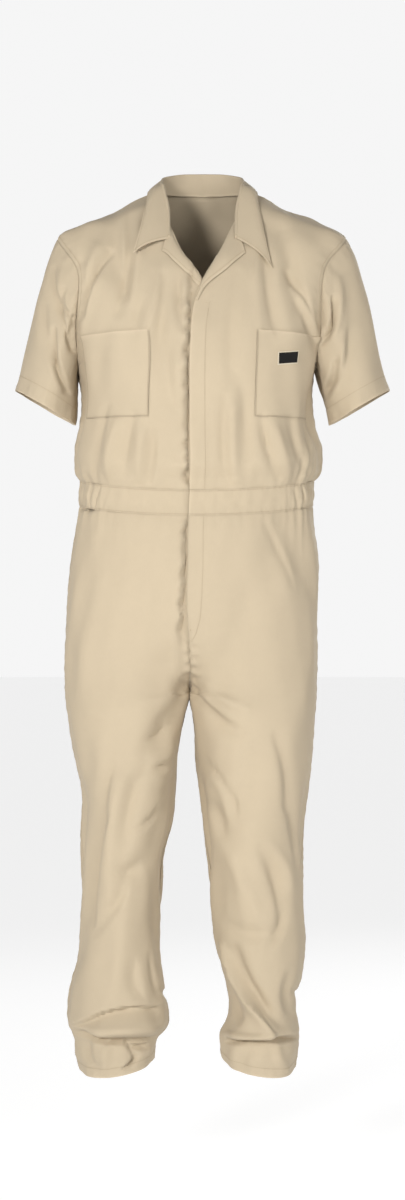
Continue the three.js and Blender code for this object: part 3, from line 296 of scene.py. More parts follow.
# Creases for each part of the garment and the side that it faces: the two ends across
# that side and in height, how far the middle bows, the half width, the height, which is negative
# for a trough, and how much wider one flank is than the other.
CREASES = {
    ("trunk", "front"): table(
        "a0 z0 a1 z1 bow wide high lean",
        (-138, -60, -126, -170, 6, 15, -6, 0.2),
        (-118, -50, -136, -205, -8, 9, -4, -0.3),
        (-104, -60, -112, -190, -4, 9, 3, 0),
        (-146, -109, -186, -207, 8, 6, -6, 0.5),
        (-168, -100, -178, -160, 4, 9, 4, 0),
        (-160, -150, -192, -240, 5, 7, 3.5, 0),
        (-96, -190, -104, -236, 3, 10, -3, 0),
        (128, -75, 150, -215, -6, 14, -6, 0.2),
        (99, -93, 116, -236, 5, 9, -4, -0.3),
        (84, -100, 92, -230, 4, 9, 2.5, 0),
        (138, -140, 174, -212, -5, 6, -5.5, 0.4),
        (154, -188, 184, -270, -5, 7, -5, 0.4),
        (147, -165, 182, -240, -4, 6, 4, 0),
        (58, -150, 48, -320, 6, 12, -3, 0),
        (-62, -150, -58, -350, 7, 12, -5, 0),
        (-70, -140, -80, -235, -4, 8, 3, 0.2),
        (-50, -250, -44, -360, 5, 8, -3.5, 0),
        (-36, -150, -30, -230, 4, 6, -4, 0.4),
        (60, -310, 66, -456, -6, 10, -3.4, 0),
        (36, -346, 40, -478, 4, 7, -3.5, 0.2),
        (50, -360, 52, -470, 3, 8, 3, 0),
        (96, -372, 120, -466, 3, 7, -5, 0.4),
        (110, -380, 136, -468, -3, 8, 3.5, 0),
        (142, -372, 166, -455, 3, 8, -4, 0.2),
        (168, -330, 178, -440, 3, 10, -4, 0),
        (-108, -372, -122, -460, 4, 9, -3.8, 0.2),
        (-80, -390, -84, -470, -3, 7, -4, 0.3),
        (-96, -400, -100, -470, 2, 7, 3, 0),
        (-150, -356, -170, -460, 3, 7, -3.6, 0.2),
        (-136, -380, -150, -455, 3, 7, 3.5, 0),
    ),
    ("trunk", "back"): table(
        "a0 z0 a1 z1 bow wide high lean",
        (-120, -110, -90, -330, 8, 20, -8, 0.2),
        (120, -110, 90, -330, -8, 20, -8, -0.2),
        (-150, -140, -160, -260, 6, 12, -5, 0.3),
        (150, -150, 156, -270, -6, 12, -5, -0.3),
        (-30, -50, -70, -92, 4, 12, -3, 0),
        (34, -52, 80, -96, -4, 12, -3, 0),
        (-64, -300, -58, -446, 5, 14, -8, 0.3),
        (54, -320, 48, -446, -5, 14, -8, -0.2),
        (-132, -345, -124, -446, 4, 14, -8, 0),
        (118, -350, 108, -446, -4, 14, -8, 0),
        (-94, -380, -90, -452, 3, 9, 4, 0),
        (82, -370, 80, -452, 2, 9, 4, 0),
        (-6, -360, -8, -446, 3, 12, -5, 0),
        (20, -390, 22, -452, -2, 8, 4, 0),
    ),
    ("trunk", "left"): table(
        "a0 z0 a1 z1 bow wide high lean",
        (-40, -320, -20, -440, 6, 12, -6, 0.2),
        (40, -330, 20, -446, -5, 12, -6, 0),
    ),
    ("trunk", "right"): table(
        "a0 z0 a1 z1 bow wide high lean",
        (-36, -320, -24, -440, 6, 12, -6, -0.2),
        (42, -340, 22, -446, -5, 12, -6, 0),
    ),
    ("right_sleeve", "front"): table(
        "a0 z0 a1 z1 bow wide high lean",
        (-221, -168, -206, -210, 9, 6, -7, 0.4),
        (-237, -131, -203, -262, 7, 5, -4, 0.6),
        (-228, -140, -212, -215, 5, 7, 4, 0),
        (-207, -222, -207, -262, 2, 6, -4, 0),
        (-253, -190, -235, -285, 5, 7, -3.5, 0.3),
        (-237, -232, -213, -326, 8, 7, -8, 0.5),
        (-246, -230, -228, -320, 6, 7, 3.5, 0),
    ),
    ("left_sleeve", "front"): table(
        "a0 z0 a1 z1 bow wide high lean",
        (208, -182, 190, -246, -8, 5, -9, -0.4),
        (218, -150, 208, -240, -5, 7, 4, 0),
        (236, -232, 214, -312, -6, 8, -4.5, -0.3),
        (212, -284, 186, -338, -5, 8, -7, -0.4),
        (226, -262, 204, -335, -5, 7, 3.5, 0),
        (240, -140, 246, -260, 5, 12, -3, 0),
    ),
    ("right_sleeve", "back"): table(
        "a0 z0 a1 z1 bow wide high lean",
        (-216, -160, -204, -230, 6, 8, -7, 0.3),
        (-240, -180, -216, -310, 8, 9, -6, 0.2),
    ),
    ("left_sleeve", "back"): table(
        "a0 z0 a1 z1 bow wide high lean",
        (216, -160, 204, -230, -6, 8, -7, -0.3),
        (240, -170, 218, -300, -8, 9, -6, -0.2),
    ),
    ("left_sleeve", "left"): table(
        "a0 z0 a1 z1 bow wide high lean",
        (10, -150, 4, -300, 8, 13, -4, 0),
    ),
    ("right_sleeve", "right"): table(
        "a0 z0 a1 z1 bow wide high lean",
        (-8, -150, 6, -300, -8, 13, -4, 0),
    ),
    ("legs", "front"): table(
        "a0 z0 a1 z1 bow wide high lean",
        (99, -536, 144, -636, -4, 6, -2.2, 0.6),
        (134, -532, 166, -640, 0, 16, -5, 0),
        (-202, -513, -176, -517, 0, 3.5, -8, -0.4),
        (-12, -812, 62, -868, 8, 11, -7, 0.4),
        (10, -800, 70, -832, 5, 8, 3.5, 0),
        (-26, -806, -88, -900, -8, 17, -5.5, 0.3),
        (-92, -884, -34, -850, 5, 4, -2.8, 0.4),
        (-96, -932, -40, -906, 6, 4, -3.2, 0.4),
        (-78, -960, -30, -948, 4, 4, -2.6, 0.4),
        (-80, -918, -46, -896, 4, 7, 2.5, 0),
        (-94, -936, -122, -1042, 8, 15, -6, 0.3),
        (-108, -1020, -72, -996, 5, 5, -4, 0.4),
        (-136, -1094, -92, -1080, 5, 12, -5, 0),
        (-142, -925, -152, -1010, 5, 8, -3.5, 0.5),
        (-152, -1010, -178, -1170, 6, 11, -7.5, 0.6),
        (-128, -950, -150, -1130, 6, 14, 6.5, 0),
        (-118, -1100, -172, -1190, -7, 10, -4, 0.4),
        (-112, -1120, -136, -1270, 7, 14, 3.5, 0),
        (-108, -1240, -94, -1296, 5, 11, -4.5, 0.4),
        (-70, -1150, -66, -1225, 4, 8, -2.5, 0),
        (-8, -916, 38, -964, -8, 5, -3.6, 0.5),
        (38, -964, 52, -996, -3, 7, -4, 0.3),
        (3, -980, 32, -1030, -5, 9, -5, 0),
        (14, -940, 40, -1000, -6, 8, 3.5, 0),
        (117, -880, 134, -985, -6, 10, -4.5, -0.3),
        (134, -985, 152, -1080, -5, 10, -5, -0.3),
        (94, -1062, 126, -1170, -9, 13, -6, -0.3),
        (108, -1050, 142, -1120, -6, 9, 4, 0),
        (132, -1160, 106, -1212, -5, 9, -5, 0.3),
        (36, -1182, 112, -1190, 6, 11, -5, 0),
        (60, -1100, 70, -1170, 5, 12, 3, 0),
        (-212, -1346, -60, -1316, -18, 6, -8, 0.7),
        (-206, -1358, -64, -1328, -17, 12, -4, 0),
        (-180, -1350, -80, -1350, -3, 7, 3, 0),
        (28, -1226, 58, -1336, 3, 3.6, -4.5, 0),
        (-84, -1226, -64, -1304, 4, 4, -2.6, 0.3),
        (-178, -1000, -192, -1220, 5, 22, -5, 0),
        (-62, -1000, -78, -1180, -5, 18, -4, 0),
        (36, -1100, 48, -1230, 4, 18, -4, 0),
        (30, -1050, 92, -1175, -4, 12, 4, 0),
        (-210, -1356, -58, -1364, 6, 4, -9, -0.4),
        (-182, -1372, -172, -1402, 5, 8, -5, 0.3),
        (-150, -1368, -152, -1410, 4, 8, 3.5, 0),
        (-126, -1408, -104, -1390, 2, 3, -5, 0),
        (-120, -1368, -82, -1370, 5, 4.5, -7, 0.3),
        (-84, -1368, -76, -1404, 5, 5, 3, 0),
        (-114, -1376, -112, -1404, -6, 5, -4, 0),
        (30, -1216, 110, -1349, 5, 7, 11, 0.5),
        (50, -1224, 126, -1334, 9, 10, -9, 0),
        (42, -1252, 62, -1326, 5, 5, -6, 0.3),
        (38, -1355, 114, -1352, 3, 5, 6, 0),
        (42, -1369, 158, -1366, -2, 4.4, -11, -0.5),
        (138, -1262, 142, -1322, 6, 9, -6, 0),
        (120, -1370, 134, -1412, 4, 8, 4, 0),
        (70, -1378, 60, -1412, 3, 9, -3, 0),
    ),
    ("legs", "back"): table(
        "a0 z0 a1 z1 bow wide high lean",
        (-28, -800, -120, -900, -6, 18, -9, 0.2),
        (-12, -800, 92, -905, 6, 18, -9, 0.2),
        (-50, -880, -140, -930, -6, 14, -6, 0.3),
        (10, -880, 110, -940, 6, 14, -6, 0.3),
        (-66, -1080, -190, -1120, 6, 14, -8, 0.2),
        (-74, -1110, -180, -1150, 6, 12, 5, 0),
        (14, -1075, 150, -1115, -6, 14, -8, 0.2),
        (24, -1105, 146, -1150, -6, 12, 5, 0),
        (-180, -1150, -90, -1200, 8, 13, -6, 0.2),
        (140, -1160, 50, -1205, -8, 13, -6, 0.2),
        (-200, -1300, -80, -1330, 10, 9, -7, 0.4),
        (50, -1310, 140, -1330, 8, 9, -7, 0.4),
        (-205, -1354, -66, -1352, 3, 5, -6, 0),
        (42, -1358, 150, -1356, 3, 5, -6, 0),
    ),
    ("legs", "left"): table(
        "a0 z0 a1 z1 bow wide high lean",
        (-30, -960, 10, -1180, 8, 15, -6, 0),
        (40, -1060, 10, -1240, -8, 14, -5, 0),
        (-40, -1286, 50, -1300, 4, 7, -4, 0.3),
    ),
    ("legs", "right"): table(
        "a0 z0 a1 z1 bow wide high lean",
        (-30, -960, 10, -1180, 8, 15, -6, 0),
        (40, -1060, 10, -1240, -8, 14, -5, 0),
    ),
}

# How the edges are made: 1 where they are sewn to another piece, how far the cloth beside them is
# drawn up, how thick the turned or felled cloth stands and how wide, and how far in their
# stitching runs.
# The sewn value also sets how strongly shade is painted on the cloth beside the seam.
EDGE_WORK = table(
    "piece edges sewn draw raised wide stitch",
    ("left_front", "first", 0, 0, 0.6, 26, 24),
    ("front", "last", 1, 0.45, 0.5, 9, 7),
    ("front", "bottom", 0.35, 0.3, 0, 1, 0),
    ("back", "first last", 1, 0.45, 0, 1, 0),
    ("back", "bottom", 0.35, 0.3, 0, 1, 0),
    ("back", "top", 1, 0.2, 0.4, 8, 6),
    ("sleeve", "bottom", 1.5, 0.45, 0, 1, 0),
    ("sleeve", "first last", 1, 0.3, 0, 1, 0),
    ("sleeve", "top", 0, 0.25, 0.4, 26, 25),
    ("left_front_leg", "first", 0, 0, 0.6, 26, 24),
    ("front_leg", "first", 1, 0.4, 0, 1, 0),
    ("front_leg", "last", 1, 0.35, 0.4, 9, 7),
    ("back_leg", "first", 1, 0.35, 0, 1, 0),
    ("back_leg", "last", 1, 0.4, 0.4, 9, 7),
    ("leg", "bottom", 0.35, 0.3, 0, 1, 0),
    ("leg", "top", 0, 0.25, 0.4, 16, 15),
    ("waistband", "bottom top", 0.35, 0, 0, 1, 2.5),
    ("collar", "first last top", 0, 0, 0, 1, 5),
    ("lapel", "last", 0, 0, 0, 1, 5),
    # The pockets' sewn edges also carry a painted shadow along them.
    ("chest_pocket", "first last bottom", 1, 0, 0, 1, 2),
    ("label", "first last bottom top", 0, 0, 0, 1, 1.4),
)

# Creases, edges, stitches and gathers, in millimetres.
CREASE_DEPTH = 1.5
EDGE_NAMES = ("first", "last", "bottom", "top")
FLY_STITCH = ((-728, -715, -690, -655), (4, 12, 20, 24))
FLY_STITCH_TOP = -189
FLY_TACKS = {
    "left_front": SimpleNamespace(level=FLY_STITCH_TOP, near=15, far=24, lifts=(0,)),
    "left_front_leg": SimpleNamespace(
        level=-710, near=0.6, far=8, lifts=(-1.2, -0.6, 0, 0.6, 1.2)
    ),
}
FLY_SEWN = -774
STITCH_PITCH = 3.1
STITCH_SIZE = (1.3, 0.3, 0.26)
STITCH_LIFT = 0.12
LABEL_EDGE = (0.62, 0.56, 0.44, 1)
LABEL_TWILL_PITCH = 0.0006
UNSTITCHED = 90
SETTLE_STEPS = 360
SEAM_TRIM = 0.05
# How far the painted shade beside a seam reaches into the cloth.
SEAM_SHADE_FADE = 1.1
WORN_FADE = 1.8
SMOOTH_ANGLE = math.radians(50)
DRIFT = SimpleNamespace(seed=11, waves=22, high=0.34)
PUCKER_LEVELS = (-128, -745)
CROTCH_LEVELS = (-716, -822)
CROTCH_ROWS = (7, 10)
POCKET_GAPE = SimpleNamespace(above=30, reach=80, forward=9, outward=2)
SLEEVE_PULLS = SimpleNamespace(
    leave=SimpleNamespace(under=14, over=112, swell=30, under_drop=86, over_drop=215),
    arrive=SimpleNamespace(under=16, over=62, swell=14, under_drop=86, over_drop=235),
)
GATHERS = {
    "trunk": SimpleNamespace(high=3.4, fade=34, puff=1.8),
    "legs": SimpleNamespace(high=2.2, fade=26, puff=0.8),
}
STAND_END = 0.3
FOLD_END = 0.44
FOLD_RADIUS = 2.6

# What each piece was cut to, in metres: its width, its length and its area, with the ease that
# its creases and gathers take up.
CUTS = {
    cut.piece: cut
    for cut in table(
        "piece width length area",
        ("left_front", 0.3, 0.57, 0.121),
        ("right_front", 0.305, 0.57, 0.123),
        ("back", 0.57, 0.54, 0.252),
        ("left_sleeve", 0.62, 0.265, 0.078),
        ("right_sleeve", 0.62, 0.265, 0.076),
        ("left_front_leg", 0.355, 0.97, 0.256),
        ("left_back_leg", 0.375, 1.0, 0.267),
        ("right_front_leg", 0.35, 0.97, 0.254),
        ("right_back_leg", 0.37, 1.0, 0.265),
        ("left_pocket_facing", 0.063, 0.158, 0.0098),
        ("right_pocket_facing", 0.063, 0.158, 0.0098),
        ("left_waistband", 0.206, 0.041, 0.0084),
        ("right_waistband", 0.212, 0.041, 0.0086),
        ("elastic_waistband", 0.7, 0.042, 0.0285),
        ("collar", 0.64, 0.098, 0.0352),
        ("left_lapel", 0.078, 0.192, 0.0048),
        ("right_lapel", 0.068, 0.14, 0.0031),
        ("left_chest_pocket", 0.133, 0.137, 0.0173),
        ("right_chest_pocket", 0.13, 0.137, 0.0171),
        ("label", 0.039, 0.024, 0.00093),
    )
}


def clamp(x, low, high):
    return min(max(x, low), high)


def mix(a, b, t):
    return a + (b - a) * t


def ease(t):
    t = np.clip(t, 0, 1)
    return t * t * (3 - 2 * t)


def through(rows, key):
    """A smooth curve through a table's rows. It gives every column at one value of the key."""
    names = [name for name in vars(rows[0]) if name != key]
    places = [getattr(row, key) for row in rows]
    last = len(rows) - 1
    along = math.copysign(1, places[-1] - places[0])
    columns = []
    for name in names:
        values = [getattr(row, name) for row in rows]
        rise = [(values[i + 1] - values[i]) / (places[i + 1] - places[i]) for i in range(last)]
        slopes = []
        for i in range(last + 1):
            before, after = rise[max(i - 1, 0)], rise[min(i, last - 1)]
            together = before * after
            slopes.append(2 * together / (before + after) if together > 0 else 0)
        columns.append((values, slopes))

    def at(where):
        i = 0
        while i < last - 1 and (where - places[i + 1]) * along > 0:
            i += 1
        span = places[i + 1] - places[i]
        t = clamp((where - places[i]) / span, 0, 1)
        found = SimpleNamespace()
        for name, (values, slopes) in zip(names, columns):
            start, end = values[i], values[i + 1]
            leave, arrive = slopes[i] * span, slopes[i + 1] * span
            bend = 3 * (end - start) - 2 * leave - arrive
            turn = 2 * (start - end) + leave + arrive
            setattr(found, name, start + t * (leave + t * (bend + t * turn)))
        return found

    return at


trunk_at = through(TRUNK, "z")
TRUNK_CENTRES = np.array([(ring.z, ring.centre) for ring in TRUNK[::-1]], float).T
armhole_at = through(ARMHOLE, "t")
collar_at = through(COLLAR, "t")
leg_at = {"left": through(LEFT_LEG, "z"), "right": through(RIGHT_LEG, "z")}
edge_at = {side: through(EDGES[side], "t") for side in SIGN}


def reach(angle, square):
    """How far a rounded section of unit size reaches at an angle from the front."""
    return (abs(math.sin(angle)) ** square + abs(math.cos(angle)) ** square) ** (-1 / square)


def on_trunk(angle, z):
    """The trunk's section. The angle is 0 in front and a quarter turn at the left side."""
    ring = trunk_at(z)
    r = reach(angle, ring.square)
    depth = ring.front if math.cos(angle) > 0 else ring.back
    x = ring.centre + ring.half * math.sin(angle) * r
    return np.array((x, -depth * math.cos(angle) * r, z))


def on_leg(side, angle, z):
    """A leg's section. The angle is 0 in front and a quarter turn at the outseam."""
    ring = leg_at[side](z)
    r = reach(angle, ring.square)
    depth = ring.front if math.cos(angle) > 0 else ring.back
    x = (ring.outer + ring.inner) / 2 + (ring.outer - ring.inner) / 2 * math.sin(angle) * r
    return np.array((SIGN[side] * x, -depth * math.cos(angle) * r, z))


def angle_where(measure, wanted, low, high):
    """The angle between two others at which a measure has the wanted value."""
    rising = measure(high) > measure(low)
    for _ in range(34):
        middle = (low + high) / 2
        if (measure(middle) < wanted) == rising:
            low = middle
        else:
            high = middle
    return (low + high) / 2


def highest(inside, low, high):
    """The highest level at which a place still lies inside the trunk."""
    for _ in range(24):
        middle = (low + high) / 2
        if inside(trunk_at(middle)):
            low = middle
        else:
            high = middle
    return low


def band_top(angle):
    return BAND_SIDE - BAND_DROOP * max(math.cos(angle), 0) ** 1.5


def band_bottom(angle):
    return band_top(angle) - BAND_HEIGHT


def edge_angle(side, z, past):
    """The trunk's angle where a front's overlapping edge lies, at a level."""
    sign = SIGN[side]
    wanted = sign * (trunk_at(z).centre - sign * past)
    low, high = math.radians(-40), math.radians(90)
    return sign * angle_where(lambda a: sign * on_trunk(sign * a, z)[0], wanted, low, high)


class Panel:
    """A grid of points in rows, with the outward normal at each."""

    def __init__(self, points, turned=False, on="trunk", armholes=("last",)):
        self.points = points
        self.turned = turned
        self.on = on
        self.armholes = armholes
        self.face()

    def face(self):
        up = np.gradient(self.points, axis=0)
        across = np.gradient(self.points, axis=1)
        normals = np.cross(across, up)
        normals /= np.linalg.norm(normals, axis=-1, keepdims=True) + 1e-12
        self.normals = -normals if self.turned else normals

    def from_edge(self, edge):
        """How far each point is from one edge of the panel, along the cloth."""
        points = self.points if edge in ("first", "last") else self.points.swapaxes(0, 1)
        back = edge in ("last", "top")
        points = points[:, ::-1] if back else points
        steps = np.linalg.norm(np.diff(points, axis=1), axis=-1)
        far = np.pad(np.cumsum(steps, axis=1), ((0, 0), (1, 0)))
        far = far[:, ::-1] if back else far
        return far if edge in ("first", "last") else far.swapaxes(0, 1)

    def inset(self, edge, distance):
        """The line that runs along one edge, some distance in, as points and normals."""
        far = self.from_edge(edge)
        points, normals = self.points, self.normals
        if edge in ("bottom", "top"):
            far, points, normals = far.T, points.swapaxes(0, 1), normals.swapaxes(0, 1)
        if edge in ("last", "top"):
            far, points, normals = far[:, ::-1], points[:, ::-1], normals[:, ::-1]
        line = []
        wanted = np.broadcast_to(distance, len(far))
        for row, spots, facing, inset in zip(far, points, normals, wanted):
            k = clamp(int(np.searchsorted(row, inset)), 1, len(row) - 1)
            t = clamp((inset - row[k - 1]) / max(row[k] - row[k - 1], 1e-6), 0, 1)
            line.append((mix(spots[k - 1], spots[k], t), mix(facing[k - 1], facing[k], t)))
        return np.array([p for p, _ in line]), np.array([n for _, n in line])


def edge_places(cells, count):
    """Even places over some cells, with more of them close to both ends for the seams."""
    close = np.array((0.02, 0.045, 0.08))
    even = np.linspace(0, cells, cells * count + 1)
    return np.sort(np.concatenate([even, close, cells - close]))


def curve_through(points, count):
    """Even smooth curves along the first axis of some points, in count steps to a span."""
    last = len(points) - 1
    flat = points.reshape(last + 1, -1)
    balance = np.eye(last + 1)
    bend = np.zeros_like(flat)
    for i in range(1, last):
        balance[i, i - 1 : i + 2] = 1, 4, 1
        bend[i] = 6 * (flat[i + 1] - 2 * flat[i] + flat[i - 1])
    bend = np.linalg.solve(balance, bend)
    places = edge_places(last, count)
    i = np.minimum(places.astype(int), last - 1)
    t = (places - i)[:, None]
    rest = 1 - t
    fine = rest * flat[i] + t * flat[i + 1]
    fine += (rest**3 - rest) * bend[i] / 6 + (t**3 - t) * bend[i + 1] / 6
    return fine.reshape((-1, *points.shape[1:]))


def refine(rows, along, across):
    """A fine smooth grid through a coarse one, in so many steps to a cell each way."""
    points = curve_through(np.array(rows), along)
    return curve_through(points.swapaxes(0, 1), across).swapaxes(0, 1)


def front_rows(side):
    """The front's points, from the band up to the shoulder seam."""
    sign = SIGN[side]
    quarter = math.pi / 2
    rows = []
    for row in range(len(BODICE_ROWS) + ARMHOLE_CELLS + 1):
        if row < len(BODICE_ROWS):
            share = BODICE_ROWS[row]
            start = sign * edge_angle(side, mix(band_top(0), ARMPIT, share), FLY_PAST[side])
            angles = [mix(start, quarter, j / SIDE_CELLS) for j in range(SIDE_CELLS + 1)]
            rows.append([on_trunk(sign * a, mix(band_top(a), ARMPIT, share)) for a in angles])
            continue
        t = (row - len(BODICE_ROWS)) / ARMHOLE_CELLS
        hole, edge = armhole_at(t), edge_at[side](t)
        outer = inner = quarter
        if 0 < t < 1:
            outer = angle_where(lambda a: -on_trunk(a, hole.z)[1], hole.front, 0.5, quarter)
        if t < 1:
            inner = angle_where(
                lambda a: sign * on_trunk(sign * a, edge.z)[0], edge.x, -0.52, quarter - 0.01
            )
        shares = [j / SIDE_CELLS for j in range(SIDE_CELLS + 1)]
        rows.append([on_trunk(sign * mix(inner, outer, u), mix(edge.z, hole.z, u)) for u in shares])
    return rows


def back_at(x, z):
    """The place on the back at a distance across the body and a level."""
    ring = trunk_at(z)
    across = clamp(abs(x - ring.centre) / ring.half, 0, 1)
    return np.array((x, ring.back * (1 - across**ring.square) ** (1 / ring.square), z))


def back_end(x):
    """The level at which the back ends above a place across the body."""
    neck, tip = trunk_at(0), trunk_at(ARMHOLE[-1].z)
    inside = abs(x - neck.centre) / neck.half
    if inside < 1:
        return NECK_RISE * math.cos(math.pi / 2 * inside)
    if abs(x - tip.centre) >= tip.half:
        return ARMHOLE[-1].z
    return highest(lambda ring: abs(x - ring.centre) < ring.half, ARMHOLE[-1].z, 0)


def up_the_back(x, share):
    """The level some share of the way up the back, from the armpit's level over the shoulder."""
    steps = 60
    top = back_end(x)
    path = np.array([back_at(x, top - (top - ARMPIT) * (1 - k / steps) ** 2) for k in range(steps + 1)])
    lengths = np.concatenate([[0], np.cumsum(np.linalg.norm(np.diff(path, axis=0), axis=1))])
    return float(np.interp(share * lengths[-1], lengths, path[:, 2]))


def back_top_x(j):
    """Where a column of the back ends across the body, on a shoulder or at the neck."""
    across = 2 * SIDE_CELLS + NECK_CELLS
    shoulder = min(j, across - j) / SIDE_CELLS
    if shoulder > 1:
        return trunk_at(0).half * math.cos(math.pi * (j - SIDE_CELLS) / NECK_CELLS)
    sign = -1 if j > across / 2 else 1
    return sign * trunk_at(mix(ARMHOLE[-1].z, 0, shoulder)).half


def back_hole_angle(t):
    """The trunk's angle at the back's armhole edge, some share of the way up it."""
    if t in (0, 1):
        return math.pi / 2
    hole = armhole_at(t)
    return angle_where(lambda a: on_trunk(a, hole.z)[1], hole.back, math.pi / 2, 2.8)


def back_rows():
    """The back's points, from the band up over the shoulders to the neck."""
    across = 2 * SIDE_CELLS + NECK_CELLS
    tip = ARMHOLE[-1].z
    rows = []
    for row in range(len(BODICE_ROWS) + ARMHOLE_CELLS + 1):
        spots = []
        for j in range(across + 1):
            u = j / across
            plain = mix(math.pi / 2, 3 * math.pi / 2, u)
            if row < len(BODICE_ROWS):
                spots.append(on_trunk(plain, mix(band_top(plain), ARMPIT, BODICE_ROWS[row])))
                continue
            t = (row - len(BODICE_ROWS)) / ARMHOLE_CELLS
            hole = armhole_at(t)
            side = back_hole_angle(t)
            sideward = side if u < 0.5 else 2 * math.pi - side
            if j in (0, across):
                spots.append(on_trunk(sideward, hole.z))
                continue
            low, high = (on_trunk(sideward, z)[0] for z in (ARMPIT, tip))
            drawn = on_trunk(sideward, hole.z)[0] - mix(low, high, t)
            top_x = back_top_x(j)
            x = mix(on_trunk(plain, ARMPIT)[0], top_x, t) + drawn * (1 - 2 * u) ** 2
            inward = float(ease(8 * min(u, 1 - u)))
            by_hole = mix(ARMPIT, back_end(top_x), t) + hole.z - mix(ARMPIT, tip, t)
            neck = clamp((j - SIDE_CELLS) / NECK_CELLS, 0, 1)
            wide = max(abs(x), trunk_at(0).half + 1)
            shoulders = mix(up_the_back(wide, t), up_the_back(-wide, t), neck)
            z = mix(by_hole, shoulders + t * max(back_end(top_x), 0), inward)
            ring = trunk_at(z)
            share = clamp((x - ring.centre) / ring.half, -1, 1)
            by_place = angle_where(
                lambda a: (on_trunk(a, z)[0] - ring.centre) / ring.half,
                share,
                math.pi / 2,
                3 * math.pi / 2,
            )
            by_angle = plain + (side - math.pi / 2) * (1 - 2 * u)
            spots.append(on_trunk(mix(by_angle, by_place, float(ease(t * 2))), z))
        rows.append(spots)
    return rows


def sleeve_pull(sign, turn, pull):
    """The way in which the cloth leaves the armhole, or comes to the hem, round the sleeve."""
    top = np.sin(turn / 2) ** 2
    out = sign * mix(pull.under, pull.over, top)
    return np.stack([out, -pull.swell * np.sin(turn), -mix(pull.under_drop, pull.over_drop, top)], -1)


def sleeve_rows(side, front, back, first):
    """A sleeve's points, from its armhole out over the shoulder tip to its tilted hem."""
    sign = SIGN[side]
    back_column = 0 if sign > 0 else -1
    start = np.concatenate([front.points[first:, -1], back.points[first:-1, back_column][::-1]])
    half = edge_places(ARMHOLE_CELLS, FINE_ROWS)
    half = half[(half == 0) | (half > 0.09)] / ARMHOLE_CELLS / 2
    turn = 2 * np.pi * np.concatenate([half, 1 - half[-2::-1]])
    r = (abs(np.sin(turn)) ** HEM.square + abs(np.cos(turn)) ** HEM.square) ** (-1 / HEM.square)
    over = -HEM.half * np.cos(turn) * r
    hem = np.stack(
        [
            sign * (HEM.x + over * math.cos(HEM.tilt)),
            HEM.y - HEM.depth * np.sin(turn) * r,
            HEM.z + over * math.sin(HEM.tilt),
        ],
        -1,
    )
    leave = sleeve_pull(sign, turn, SLEEVE_PULLS.leave)
    arrive = sleeve_pull(sign, turn, SLEEVE_PULLS.arrive)
    v = edge_places(8, FINE_ROWS)[:, None, None] / 8
    return (
        start * (1 - 3 * v**2 + 2 * v**3)
        + leave * (v - 2 * v**2 + v**3)
        + hem * (3 * v**2 - 2 * v**3)
        + arrive * (v**3 - v**2)
    )


def leg_rows(side, face):
    """Half a leg's points, from the waistband down to the hem."""
    sign = SIGN[side]
    is_front = face == "front"
    rows = []
    for i, row in enumerate(LEG_ROWS):
        start = math.pi
        if is_front:
            past = row.lap if side == "left" else row.under
            start = sign * edge_angle(side, row.inner, past)
        spots = []
        for j in range(LEG_CELLS + 1):
            across = j / LEG_CELLS if is_front else 1 - j / LEG_CELLS
            trunk_angle = mix(start, math.pi / 2, across)
            leg_angle = math.radians(-90 + across * 180 if is_front else 270 - across * 180)
            hang = row.droop * math.sin(math.pi * across) if is_front else 0
            z = mix(row.inner, row.outer, float(ease(across))) - hang
            if i == 0:
                z = band_bottom(trunk_angle)
            trunk = on_trunk(sign * trunk_angle, z)
            spots.append(mix(trunk, on_leg(side, leg_angle, z), row.share))
        rows.append(spots)
    return rows


def smoothed(points):
    """The trunk runs down into each leg without a ledge."""
    depth = points[..., 1].copy()
    for _ in range(SETTLE_STEPS):
        depth[1:-1] += (depth[2:] + depth[:-2] - 2 * depth[1:-1]) / 4
    place = edge_places(len(LEG_ROWS) - 1, FINE_ROWS)[:, None]
    across = np.linspace(0, 1, points.shape[1])
    inner = np.minimum(across, 1 - across) / 0.12
    share = ease((place - 3) / 4) * ease((17 - place) / 4) * ease(inner)
    points[..., 1] += share * (depth - points[..., 1])
    return points


def crease_height(panel):
    """Height of the cloth over its plain form where the creases run."""
    x, y, z = np.moveaxis(panel.points, -1, 0)
    nx, ny = panel.normals[..., 0], panel.normals[..., 1]
    facing = {"front": -ny, "back": ny, "left": nx, "right": -nx}
    height = np.zeros_like(x)
    for (on, face), creases in CREASES.items():
        across = x if face in ("front", "back") else y
        for crease in creases if on == panel.on else ():
            run = np.array((crease.a1 - crease.a0, crease.z1 - crease.z0), float)
            length = np.linalg.norm(run)
            run /= length
            da, dz = across - crease.a0, z - crease.z0
            t = np.clip((da * run[0] + dz * run[1]) / length, 0, 1)
            off = da * run[1] - dz * run[0] - crease.bow * 4 * t * (1 - t)
            past = da * run[0] + dz * run[1] - t * length
            wide = crease.wide * np.where(off > 0, 1 + crease.lean, 1 - crease.lean)
            near = np.exp(-((off / wide) ** 2) - (past / crease.wide) ** 2)
            taper = 0.45 + 0.55 * np.sin(np.pi * t)
            height += CREASE_DEPTH * crease.high * near * taper * ease(facing[face] * 1.6)
    return height


def off_armhole(panel):
    """Creases die out at the armholes, where the body's meet the sleeves'."""
    if panel.on == "legs":
        return 1
    if "sleeve" in panel.on:
        return 1 - np.exp(-((panel.from_edge("bottom") / 7) ** 2))
    far = np.min([panel.from_edge(edge) for edge in panel.armholes], axis=0)
    return 1 - np.exp(-((far / 7) ** 2)) * ease((panel.points[..., 2] - ARMPIT + 12) / 12)


def drift_height(panel):
    """Slow unevenness of hanging cloth, longer up and down than across."""
    rng = np.random.default_rng(DRIFT.seed)
    x, y, z = np.moveaxis(panel.points, -1, 0)
    height = np.zeros_like(x)
    for _ in range(DRIFT.waves):
        turn, phase = rng.uniform(0, 2 * np.pi, 2)
        across, along = rng.uniform(38, 120), rng.uniform(130, 420)
        run = (x * np.cos(turn) + y * np.sin(turn)) / across + z / along * rng.choice((-1, 1))
        height += DRIFT.high * np.sin(2 * np.pi * run + phase)
    return height


